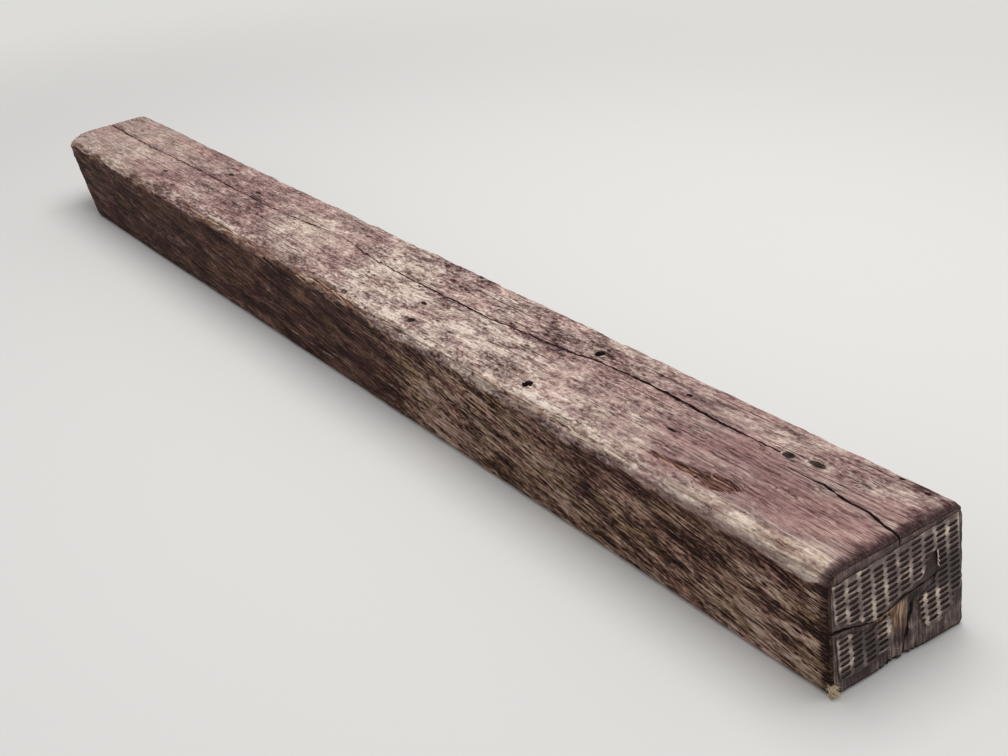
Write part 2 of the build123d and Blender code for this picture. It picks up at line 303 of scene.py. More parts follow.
def girth(co):
    """Distance in metres round the section of each point."""
    y, z = co[:, 1], co[:, 2]
    sides = np.stack([z, y + HALF_WIDTH, THICKNESS - z, HALF_WIDTH - y])
    nearest = np.argmin(sides, axis=0)
    half_round = 2 * HALF_WIDTH + THICKNESS
    bottom = np.where(y < 0, -y, 2 * half_round - y)
    front = HALF_WIDTH + z
    top = HALF_WIDTH + THICKNESS + y + HALF_WIDTH
    back = 3 * HALF_WIDTH + THICKNESS + THICKNESS - z
    return np.choose(nearest, [bottom, front, top, back])


def mesh_arrays(mesh):
    """Vertex places and normals as arrays."""
    co = np.empty(len(mesh.vertices) * 3, np.float32)
    mesh.vertices.foreach_get("co", co)
    normals = np.empty(len(mesh.vertices) * 3, np.float32)
    mesh.vertices.foreach_get("normal", normals)
    return co.reshape(-1, 3).astype(float), normals.reshape(-1, 3).astype(float)


def set_places(mesh, co):
    """Moves a mesh's vertices."""
    mesh.vertices.foreach_set("co", co.astype(np.float32).ravel())
    mesh.update()


def keep_inside(mesh, box):
    """Clips a mesh's vertices to a box."""
    co, _ = mesh_arrays(mesh)
    low, high = (np.array(corner) for corner in box)
    set_places(mesh, np.clip(co, low, high))


def write_attribute(mesh, name, values):
    """Stores one number, or one vector, for each vertex."""
    if values.ndim == 1:
        layer = mesh.attributes.get(name) or mesh.attributes.new(name, "FLOAT", "POINT")
        layer.data.foreach_set("value", values.astype(np.float32))
    else:
        layer = mesh.attributes.get(name) or mesh.attributes.new(name, "FLOAT_VECTOR", "POINT")
        layer.data.foreach_set("vector", values.astype(np.float32).ravel())


def link_mesh(name, bm, materials=()):
    """Turns a bmesh into a linked object at the origin."""
    mesh = bpy.data.meshes.new(name)
    bm.to_mesh(mesh)
    bm.free()
    for material in materials:
        mesh.materials.append(material)
    obj = bpy.data.objects.new(name, mesh)
    bpy.context.scene.collection.objects.link(obj)
    return obj


def piece(name, bm, materials):
    """A finished piece that rides on the sleeper's one body."""
    obj = link_mesh(name, bm, materials)
    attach(obj, "root")
    return obj


def apply_modifiers(obj):
    """Bakes the object's modifiers into its mesh."""
    graph = bpy.context.evaluated_depsgraph_get()
    baked = bpy.data.meshes.new_from_object(obj.evaluated_get(graph), depsgraph=graph)
    old = obj.data
    obj.modifiers.clear()
    obj.data = baked
    bpy.data.meshes.remove(old)
    baked.name = obj.name


def carve(obj, cutter_bm, operation="DIFFERENCE", material_index=None):
    """Cuts a closed mesh out of an object, or keeps what lies in it, and deletes the cutter."""
    if material_index is not None:
        for face in cutter_bm.faces:
            face.material_index = material_index
    cutter = link_mesh("cutter", cutter_bm, obj.data.materials)
    cut = obj.modifiers.new("cut", "BOOLEAN")
    cut.operation = operation
    cut.solver = "MANIFOLD"
    cut.object = cutter
    apply_modifiers(obj)
    mesh = cutter.data
    bpy.data.objects.remove(cutter)
    bpy.data.meshes.remove(mesh)


def append(bm, part):
    """Adds one bmesh to another and frees it."""
    mesh = bpy.data.meshes.new("part")
    part.to_mesh(mesh)
    part.free()
    bm.from_mesh(mesh)
    bpy.data.meshes.remove(mesh)


def cut_along(bm, axis, cuts):
    """Cuts the edges of a unit cube that run along one axis."""
    edges = [
        edge for edge in bm.edges if abs(edge.verts[0].co[axis] - edge.verts[1].co[axis]) > 0.5
    ]
    bmesh.ops.subdivide_edges(bm, edges=edges, cuts=cuts, use_grid_fill=True)


# Timber block


def block_grid(rows, columns, levels):
    """A unit cube cut into rows along X, columns along Y and levels along Z."""
    bm = bmesh.new()
    bmesh.ops.create_cube(bm, size=1.0)
    for axis, cuts in ((0, rows), (1, columns), (2, levels)):
        cut_along(bm, axis, cuts)
    for face in bm.faces:
        face.smooth = True
        face.material_index = int(abs(face.normal.x) > 0.9)
    return bm


def place_block(co, rows):
    """Unit cube places turned into the rounded block, with rows closest at the plated end."""
    from_plate = 0.5 - co[:, 0]
    share = (from_plate + from_plate ** 2) / 2
    ring = np.rint((co[:, 0] + 0.5) * (rows + 1)).astype(int)
    x = PLATED_END - share * LENGTH
    for index, distance in ((1, 1.0), (2, 2.4), (3, 4.4)):
        x[ring == index] = FAR_END + distance * MM
        x[ring == rows + 1 - index] = PLATED_END - distance * MM * 0.7
    placed = np.stack([x, co[:, 1] * 2 * HALF_WIDTH, (co[:, 2] + 0.5) * THICKNESS], axis=1)
    # Section corners
    at_top = placed[:, 2] > THICKNESS / 2
    radius = np.where(placed[:, 1] < 0, FRONT_TOP_RADIUS, BACK_TOP_RADIUS)
    radius = np.where(at_top, radius, BOTTOM_RADIUS)
    inner_y = np.clip(placed[:, 1], radius - HALF_WIDTH, HALF_WIDTH - radius)
    inner_z = np.clip(placed[:, 2], radius, THICKNESS - radius)
    dy, dz = placed[:, 1] - inner_y, placed[:, 2] - inner_z
    reach = np.maximum(np.hypot(dy, dz), 1e-9)
    pull = np.maximum(np.abs(dy), np.abs(dz)) / reach
    corner = (np.abs(dy) > 0) & (np.abs(dz) > 0)
    placed[:, 1] = np.where(corner, inner_y + dy * pull, placed[:, 1])
    placed[:, 2] = np.where(corner, inner_z + dz * pull, placed[:, 2])
    # End edges
    to_end = np.minimum(PLATED_END - x, x - FAR_END)
    rise = np.clip(END_RADIUS - to_end, 0, END_RADIUS)
    inset = END_RADIUS - np.sqrt(END_RADIUS ** 2 - rise ** 2)
    middle = THICKNESS / 2
    placed[:, 1] *= 1 - inset / HALF_WIDTH
    placed[:, 2] = middle + (placed[:, 2] - middle) * (1 - inset / middle)
    return placed


def worn_corner(co):
    """Takes the decayed lower front corner off the far end."""
    share = co[:, 2] / THICKNESS
    run = (WORN_CORNER["bottom"][0] * (1 - share) + WORN_CORNER["top"][0] * share) * MM
    reach = (WORN_CORNER["bottom"][1] * (1 - share) + WORN_CORNER["top"][1] * share) * MM
    from_end = co[:, 0] - FAR_END
    from_front = co[:, 1] + HALF_WIDTH
    length = np.hypot(run, reach)
    beyond = (1 - from_end / run - from_front / reach) * run * reach / length
    near = smooth(-0.012, 0.004, beyond)
    rough = layered_noise(co, (0.03, 0.006, 0.006), 71, 3) * 0.007 * near
    bite = np.clip(beyond, 0, None) + rough
    co[:, 0] += bite * reach / length
    co[:, 1] += bite * run / length


def gouge_share(distance, offset):
    """How deep in the splintered gouge a point of the top lies, from 0 to 1."""
    share = np.zeros(len(distance))
    for middle, line, half_long, half_wide in (GOUGE_LINE, GOUGE_SCOOP):
        slant = (distance - middle) * -0.09
        reach = ((distance - middle) / half_long) ** 2
        reach += ((offset - line - slant) / half_wide) ** 2
        torn = np.stack([distance, offset], 1)
        reach += 1.6 * (layered_noise(torn, (30, 3.0), 65, 3) - 0.5)
        share = np.maximum(share, smooth(1.2, 0.5, reach))
        share = np.maximum(share, 0.45 * smooth(2.6, 1.0, reach))
    return share


def open_grain(distance, offset):
    """How far weather has opened the grain of the top, from 0, a smooth film, to 1."""
    opened = 0.42 + 0.55 * smooth(290, 540, distance) + 0.35 * smooth(600, 800, distance)
    opened -= 0.40 * smooth(1150, 1500, distance) + 0.30 * smooth(1900, 2400, distance)
    opened += 0.45 * smooth(140, 172, offset) * smooth(420, 230, distance)
    opened += 0.40 * np.exp(-((offset - 14) / 16) ** 2)
    return np.clip(opened, 0, 1.3)


def crushed_share(distance, offset, drop):
    """How near a point lies to the crushed, frayed bottom front corner of the plated end."""
    reach = np.sqrt((distance / 13) ** 2 + (offset / 13) ** 2 + ((drop - 176) / 18) ** 2)
    return smooth(1.25, 0.35, reach)


def section_direction(co):
    """Outward direction across the section for each point, and its depth below the long faces."""
    y, z = co[:, 1], co[:, 2]
    core = FRONT_TOP_RADIUS
    dy = y - np.clip(y, core - HALF_WIDTH, HALF_WIDTH - core)
    dz = z - np.clip(z, core, THICKNESS - core)
    to_side = HALF_WIDTH - np.abs(y)
    to_level = THICKNESS / 2 - np.abs(z - THICKNESS / 2)
    inner = (dy == 0) & (dz == 0)
    sideways = to_side < to_level
    dy = np.where(inner & sideways, np.sign(y), dy)
    dz = np.where(inner & ~sideways, np.sign(z - THICKNESS / 2), dz)
    length = np.maximum(np.hypot(dy, dz), 1e-9)
    below = np.minimum(to_side, to_level)
    corner = ~inner & (dy != 0) & (dz != 0)
    below = np.where(corner, core - length, below)
    return np.stack([dy * 0, dy / length, dz / length], 1), np.clip(below, 0, None)


def side_wear(co, outward):
    """Depth in mm that weather and use have taken off the long faces and their edges."""
    distance, offset, drop = section_view(co)
    s = girth(co)
    x = co[:, 0]
    bend = (value_noise(np.stack([x, s], 1), (0.35, 0.09), 3) - 0.5) * 0.014
    flat = np.stack([x, s + bend], 1)
    topness = smooth(0.3, 0.8, outward[:, 2])
    bottomness = smooth(0.6, 0.95, -outward[:, 2])
    broad = layered_noise(flat, (0.22, 0.06), 11, 2)
    furrow = smooth(0.55, 0.85, layered_noise(flat, (0.075, 0.0068), 21, 2))
    pitted = smooth(0.56, 0.80, layered_noise(flat, (0.019, 0.0075), 41, 2))
    fibre = value_noise(flat, (0.036, 0.0038), 31)
    worn_here = smooth(0.38, 0.66, layered_noise(flat, (0.16, 0.06), 51, 2))
    opened = topness * open_grain(distance, offset) + (1 - topness) * 0.8
    depth = 1.2 * broad + 0.6 * fibre
    depth += (0.6 + 1.0 * topness) * furrow * (0.35 + 0.65 * worn_here) * opened
    depth += (1.3 + 0.6 * topness) * pitted * (0.3 + 0.7 * worn_here) * opened ** 2
    # Ragged long edges
    ragged = layered_noise(np.stack([x, s * 0 + 1], 1), (0.045, 1), 61, 3)
    slow = layered_noise(np.stack([x, s * 0 + 3], 1), (0.30, 1), 64, 2)
    front_top = np.hypot(offset, drop)
    back_top = np.hypot(2 * HALF_WIDTH / MM - offset, drop)
    front_bottom = np.hypot(offset, THICKNESS / MM - drop)
    depth += np.exp(-(front_top / 20) ** 2) * (2.0 + 8.0 * ragged * slow + 2.5 * fibre)
    depth += np.exp(-(back_top / 14) ** 2) * (0.5 + 6.0 * ragged * (1 - slow) + 1.5 * fibre)
    depth += np.exp(-(front_bottom / 12) ** 2) * (0.5 + 5.0 * ragged * slow)
    for middle, bite, radius in ARRIS_CHIPS:
        run = distance - middle
        bulge = np.sqrt(np.clip(radius ** 2 - run ** 2, 0, None))
        scoop = np.where(np.abs(run) < radius, np.clip(bite - radius + bulge, 0, None), 0)
        from_corner = (offset + drop) / math.sqrt(2)
        depth += np.clip(scoop * (0.8 + 0.4 * fibre) - from_corner, 0, None) * (drop < 60)
    # Bruised rim of the plated end
    bruise = layered_noise(co, (0.02, 0.02, 0.02), 67, 2)
    depth += np.exp(-(distance / 7) ** 2) * (1.0 + 2.4 * bruise)
    ridges = value_noise(flat, (0.045, 0.0042), 33)
    depth += topness * smooth(0.45, 1.0, gouge_share(distance, offset)) * (0.5 + 5.5 * ridges)
    return depth * (1 - 0.8 * bottomness)


def end_wear(co):
    """Depth in mm that is gone from the two ends."""
    distance, offset, drop = section_view(co)
    yz = co[:, 1:]
    grain = layered_noise(yz, (0.008, 0.008), 81, 3)
    upright = layered_noise(yz + 5, (0.0036, 0.045), 85, 2)
    lane = smooth(68, 92, offset) * smooth(160, 138, offset) * smooth(96, 112, drop)
    plated = 0.2 + 0.6 * grain + lane * (1.0 + 4.0 * smooth(0.35, 0.75, upright))
    frayed = layered_noise(yz, (0.0034, 0.0034), 87, 2)
    plated += crushed_share(distance, offset, drop) * 5.0 * frayed
    return np.where(distance < PLATED_REACH, plated, 0.5 + 3.0 * grain)


def shape_timber(mesh, rows):
    """Moves the block's grid to the weathered shape."""
    co, _ = mesh_arrays(mesh)
    co = place_block(co, rows)
    outward, below = section_direction(co)
    inward = -outward * (side_wear(co, outward) * MM * np.exp(-(below / 0.010) ** 2))[:, None]
    to_end = np.minimum(PLATED_END - co[:, 0], co[:, 0] - FAR_END)
    shift = end_wear(co) * MM * np.exp(-(to_end / 0.006) ** 2) * np.sign(-co[:, 0])
    co = co + inward
    co[:, 0] += shift
    worn_corner(co)
    set_places(mesh, np.clip(co, BLOCK_LOW, BLOCK_HIGH))


# Checks, splits and holes


def add_slit(bm, stations, down, gap_axis, depths, gaps, wander, rng):
    """Adds a closed wedge along the stations to bm, widest at the surface."""
    count = len(stations)
    layers = 3
    part = bmesh.new()
    bmesh.ops.create_cube(part, size=1.0)
    for axis, cuts in ((0, count - 2), (2, layers - 1)):
        cut_along(part, axis, cuts)
    sway = rng.uniform(-wander, wander, (count, layers + 1))
    sway[:, 0] *= 0.4
    for vert in part.verts:
        i = round((vert.co.x + 0.5) * (count - 1))
        k = round((0.5 - vert.co.z) * layers)
        side = 1 if vert.co.y > 0 else -1
        share = k / layers
        half = gaps[i] / 2 * (1 - 0.82 * share)
        place = Vector(stations[i]) + down * (depths[i] * share)
        vert.co = place + gap_axis * (side * half + sway[i, k])
    bmesh.ops.recalc_face_normals(part, faces=part.faces[:])
    append(bm, part)


def spread(path, step, rng, jitter, uneven=0.4):
    """Stations every step along a path of (a, b, gap), with an uneven gap and line."""
    table = np.array(path, float)
    table = table[np.argsort(table[:, 0])]
    count = max(4, int((table[-1, 0] - table[0, 0]) / step))
    a = np.linspace(table[0, 0], table[-1, 0], count)
    b = np.interp(a, table[:, 0], table[:, 1]) + rng.uniform(-jitter, jitter, count)
    gap = np.interp(a, table[:, 0], table[:, 2]) * rng.uniform(1 - uneven, 1 + uneven, count)
    return a, b, gap


def top_checks(rng):
    """Cutters for the long checks of the top."""
    bm = bmesh.new()
    lift = 6
    down, gap_axis = Vector((0, 0, -1)), Vector((0, 1, 0))
    for path in (MAIN_CHECK, END_CHECK):
        a, b, gap = spread(path, 9, rng, 0.8, 0.35)
        stations = [(along(d), across(o), up(-lift)) for d, o in zip(a, b)]
        depths = (CHECK_DEPTH * np.clip(gap / 4, 0.35, 1) + lift) * MM
        add_slit(bm, stations, down, gap_axis, depths, gap * MM, 0.9 * MM, rng)
    return bm


def fine_checks(rng, count):
    """Cutters for the short checks of the top and both long sides, kept apart."""
    bm = bmesh.new()
    lift = 4
    taken = {"top": [], "front": [], "back": []}
    wanted = [("top", *entry) for entry in SHORT_CHECKS]
    for _ in range(count):
        face = rng.choice(["top", "top", "front", "back"])
        start = rng.uniform(20, LENGTH / MM - 200)
        run = rng.uniform(40, 170) * (1 + start / 2500)
        low, high = (12, 222) if face == "top" else (26, 168)
        wanted.append((face, start, start + run, rng.uniform(low, high), rng.uniform(1.0, 2.0)))
    main = np.array(MAIN_CHECK + END_CHECK)
    main = main[np.argsort(main[:, 0])]
    for face, start, stop, line, gap in wanted:
        lanes = taken[face]
        if any(s < stop + 8 and e > start - 8 and abs(o - line) < 7 for s, e, o in lanes):
            continue
        middle = (start + stop) / 2
        if face == "top" and abs(np.interp(middle, main[:, 0], main[:, 1]) - line) < 9:
            continue
        lanes.append((start, stop, line))
        slope = rng.uniform(-0.012, 0.012)
        path = [
            (start, line - slope * (stop - start) / 2, 0.25),
            (start + (stop - start) * 0.3, line, gap),
            (start + (stop - start) * 0.7, line, gap * 0.8),
            (stop, line + slope * (stop - start) / 2, 0.25),
        ]
        a, b, gaps = spread(path, 9, rng, 0.5, 0.3)
        depth = rng.uniform(5, 11)
        if face == "top":
            stations = [(along(d), across(o), up(-lift)) for d, o in zip(a, b)]
            down, gap_axis = Vector((0, 0, -1)), Vector((0, 1, 0))
        else:
            side = -1 if face == "front" else 1
            y = side * (HALF_WIDTH + lift * MM)
            stations = [(along(d), y, up(o)) for d, o in zip(a, b)]
            down, gap_axis = Vector((0, -side, 0)), Vector((0, 0, 1))
        depths = np.full(len(a), (depth + lift) * MM)
        add_slit(bm, stations, down, gap_axis, depths, (gaps + 0.5) * MM, 0.3 * MM, rng)
    return bm


def end_split(rng):
    """Cutter for the split across the plated end."""
    bm = bmesh.new()
    a, b, gap = spread(END_SPLIT, 7, rng, 0.8)
    stations = [(along(-4), across(o), up(d)) for o, d in zip(a, b)]
    depths = np.full(len(a), (SPLIT_DEPTH + 4) * MM)
    back, gap_axis = Vector((-1, 0, 0)), Vector((0, 0, 1))
    add_slit(bm, stations, back, gap_axis, depths, gap * 0.8 * MM, 1.0 * MM, rng)
    return bm


def upright_checks(rng):
    """Cutters for the upright checks of the plated end and the radial ones of the far end."""
    bm = bmesh.new()
    gap_axis = Vector((0, 1, 0))
    for path, depth in UPRIGHT_CHECKS:
        turned = [(drop, offset, gap) for offset, drop, gap in path]
        a, b, gap = spread(turned, 6, rng, 1.2)
        stations = [(along(-4), across(o), up(d)) for d, o in zip(a, b)]
        depths = np.full(len(a), (depth + 4) * MM)
        add_slit(bm, stations, Vector((-1, 0, 0)), gap_axis, depths, gap * MM, 1.0 * MM, rng)
    for path in FAR_CHECKS:
        turned = [(drop, offset, gap) for offset, drop, gap in path]
        a, b, gap = spread(turned, 6, rng, 1.2)
        stations = [(FAR_END - 4 * MM, across(o), up(d)) for d, o in zip(a, b)]
        depths = np.full(len(a), (FAR_CHECK_DEPTH + 4) * MM)
        add_slit(bm, stations, Vector((1, 0, 0)), gap_axis, depths, gap * MM, 1.0 * MM, rng)
    return bm


def holes(rng):
    """Cutters for the spike holes, the knots and the pits of the top."""
    bm = bmesh.new()
    spike = (SPIKE_HOLE_RADIUS, SPIKE_HOLE_RADIUS, SPIKE_HOLE_DEPTH)
    rows = [(*place, *spike) for place in SPIKE_HOLES]
    rows += [(d, o, long, wide, KNOT_DEPTH) for d, o, long, wide in KNOTS]
    rows += [(d, o, long, wide, PIT_DEPTH) for d, o, long, wide in PITS]
    for distance, offset, long, wide, depth in rows:
        part = bmesh.new()
        lift = 6 if depth > 20 else 2
        tip = 0.55 if depth > 20 else 0.35
        bmesh.ops.create_cone(
            part, cap_ends=True, segments=18, radius1=tip, radius2=1.0, depth=(depth + lift) * MM
        )
        edges = [e for e in part.edges if abs(e.verts[0].co.z - e.verts[1].co.z) > 0.001]
        bmesh.ops.subdivide_edges(part, edges=edges, cuts=3)
        for vert in part.verts:
            vert.co.x *= long * MM * rng.uniform(0.86, 1.12)
            vert.co.y *= wide * MM * rng.uniform(0.86, 1.12)
            vert.co.z += up(-lift) - (depth + lift) * MM / 2
            vert.co.x += along(distance)
            vert.co.y += across(offset)
        append(bm, part)
    return bm


# Tones that the materials read


def is_inside(outline, across_axis, down_axis):
    """Even-odd test of points against an outline, all in mm."""
    crossings = np.zeros(len(across_axis), int)
    for (u1, v1), (u2, v2) in zip(outline, outline[1:] + outline[:1]):
        if v1 == v2:
            continue
        spans = (v1 > down_axis) != (v2 > down_axis)
        crossings += spans & (across_axis < u1 + (down_axis - v1) * (u2 - u1) / (v2 - v1))
    return crossings % 2 == 1


def zone_changes(run, line_axis, zones):
    """Sum of the changes that soft oval zones make at each point, all in mm."""
    total = np.zeros(len(run))
    for middle, line, half_long, half_wide, change in zones:
        reach = ((run - middle) / half_long) ** 2 + ((line_axis - line) / half_wide) ** 2
        total += change * np.exp(-reach)
    return total


def timber_tones(mesh):
    """Stores how bleached, open-grained or reddish each point is, and where shade is painted under
    the plate, for the materials.
    """
    co, normals = mesh_arrays(mesh)
    distance, offset, drop = section_view(co)
    s = girth(co)
    flat = np.stack([co[:, 0], s], 1)
    # The film of the top wraps a ragged way over the front arris; its lighter tones there are
    # partly bleached film and partly painted highlight on the rounded arris
    wrap = 25 + 24 * (layered_noise(flat, (0.045, 0.02), 89, 4) - 0.5)
    wrap -= 11 * smooth(950, 1250, distance)
    wrapped = smooth(3, -3, drop - wrap) * (normals[:, 1] < 0) * (offset < 60)
    top = np.maximum(smooth(0.25, 0.75, normals[:, 2]), wrapped)
    front = smooth(0.3, 0.8, -normals[:, 1])
    wide = layered_noise(flat, (0.22, 0.06), 91, 2) - 0.5
    # Bleached, bare fibre against brown film
    bare_top = 0.50 + 0.32 * wide + zone_changes(distance, offset, BARE_ON_TOP)
    dim = smooth(850, 1350, distance + 500 * wide)
    bare_side = 0.235 + 0.14 * wide - 0.39 * dim
    bare_side += 0.8 * front * zone_changes(distance, drop, BARE_ON_SIDE)
    bare_side -= 0.3 * np.exp(-((drop - 28) / 9) ** 2) * smooth(700, 300, distance)
    # Painted shade of the broad groove where the end split runs out on the front side
    slant = (drop - 93 - distance / 16) / 6
    bare_side -= 0.3 * np.exp(-slant ** 2) * smooth(260, 160, distance)
    line = np.interp(distance, *np.array(sorted(MAIN_CHECK))[:, :2].T)
    bare_top -= 0.16 * np.exp(-((offset - line) / 9) ** 2) * smooth(240, 330, distance)
    bare_top -= 0.35 * smooth(0.3, 1.0, gouge_share(distance, offset))
    bare_side += 0.30 * (layered_noise(flat, (0.10, 0.035), 93, 2) - 0.5) * dim
    arris = np.exp(-((offset - 9) / 14) ** 2 - (drop / 14) ** 2)
    patchy = smooth(0.35, 0.65, layered_noise(flat, (0.09, 0.03), 97, 2))
    # Lighter along the front arris: partly bleached wear, partly painted highlight on the rounded
    # arris
    bare_top += arris * (0.40 + 0.42 * patchy - 0.25 * smooth(950, 1250, distance))
    bare = top * np.clip(bare_top, -0.35, 0.94) + (1 - top) * np.clip(bare_side, -0.30, 1)
    opened = top * open_grain(distance, offset)
    opened += (1 - top) * np.clip(0.68 + 2.2 * bare_side, 0.60, 1.5)
    on_end = np.abs(normals[:, 0]) > 0.6
    near_plate = distance < PLATED_REACH
    lane = smooth(76, 96, offset) * smooth(160, 142, offset) * smooth(92, 104, drop)
    plated = 0.385 + 0.06 * lane + zone_changes(offset, drop, MARKS_ON_END)
    bare = np.where(on_end, np.where(near_plate, plated, 0.72), bare)
    fibrous = 0.35 + 0.65 * smooth(84, 100, drop)
    opened = np.where(on_end, np.where(near_plate, fibrous, 1.0), opened)
    bruise = layered_noise(flat, (0.012, 0.012), 95, 2)
    rim = smooth(19, 7, distance + 12 * (bruise - 0.5))
    bare *= 1 - 0.85 * rim * ~on_end
    crushed = crushed_share(distance, offset, drop)
    bare = np.maximum(bare, 1.1 * crushed)
    # Rusty or freshly broken reddish wood
    red = gouge_share(distance, offset) * top
    edge = np.exp(-((offset - 5) / 15) ** 2 - ((drop - 6) / 14) ** 2)
    ragged = smooth(0.36, 0.64, layered_noise(flat, (0.08, 0.015), 99, 3))
    red += edge * ragged * (0.80 + 0.75 * smooth(1000, 1250, distance))
    for middle, bite, _ in ARRIS_CHIPS[:4]:
        red += 0.7 * arris * np.exp(-((distance - middle) / 45) ** 2) * (bite > 12)
    red += 0.9 * front * np.exp(-((distance - 53) / 15) ** 2 - ((drop - 42) / 8) ** 2)
    warm_end = smooth(74, 84, offset) * smooth(134, 120, offset) * smooth(92, 97, drop)
    warm_end *= smooth(140, 126, drop) * on_end * near_plate
    red = np.maximum(red, warm_end)
    # Painted shade: the end grain that the plate covers is darkened as if shaded in its slots and
    # gaps
    jitter = 3 * (layered_noise(co[:, 1:], (0.006, 0.006), 101, 2) - 0.5)
    under = is_inside(PLATE_TEAR, offset + jitter, drop + jitter)
    under |= is_inside(FRAGMENT_TEAR, offset + jitter, drop + jitter)
    under &= (offset > 11) & (offset < 219) & (drop > 21 - 0.052 * offset) & (drop < 158)
    write_attribute(mesh, "bare", np.clip(bare, -0.35, 1.3))
    write_attribute(mesh, "opened", opened)
    write_attribute(mesh, "red", np.clip(red, 0, 1))
    write_attribute(mesh, "topness", top)
    write_attribute(mesh, "rim", rim)
    write_attribute(mesh, "straw", crushed)
    write_attribute(mesh, "under", (under & on_end & near_plate).astype(float))
    # Grain runs along X, sweeps round the knots and wanders a little
    grain = co.copy()
    grain[:, 1] += (value_noise(np.stack([co[:, 0], s], 1), (0.5, 0.12), 103) - 0.5) * 0.02
    for middle, line, long, wide_axis in KNOTS:
        reach = ((distance - middle) / (long * 2.4)) ** 2
        reach += ((offset - line) / (wide_axis * 3)) ** 2
        grain[:, 1] += np.sign(offset - line) * -0.006 * np.exp(-reach) * top
    write_attribute(mesh, "grain", grain)


# Materials


def add_node(tree, kind, inputs=(), out=0, stops=(), **settings):
    """Adds a node with its settings and links, and returns one of its outputs."""
    node = tree.nodes.new(kind)
    for name, value in settings.items():
        setattr(node, name, value)
    pairs = inputs.items() if isinstance(inputs, dict) else enumerate(inputs)
    for key, value in pairs:
        if isinstance(value, bpy.types.NodeSocket):
            tree.links.new(value, node.inputs[key])
        else:
            node.inputs[key].default_value = value
    for index, (position, code) in enumerate(stops):
        elements = node.color_ramp.elements
        element = elements[index] if index < 2 else elements.new(position)
        element.position = position
        element.color = srgb(code)
    return node.outputs[out] if node.outputs else node


def new_material(name):
    """An empty node material."""
    material = bpy.data.materials.new(name)
    material.use_nodes = True
    material.node_tree.nodes.clear()
    return material


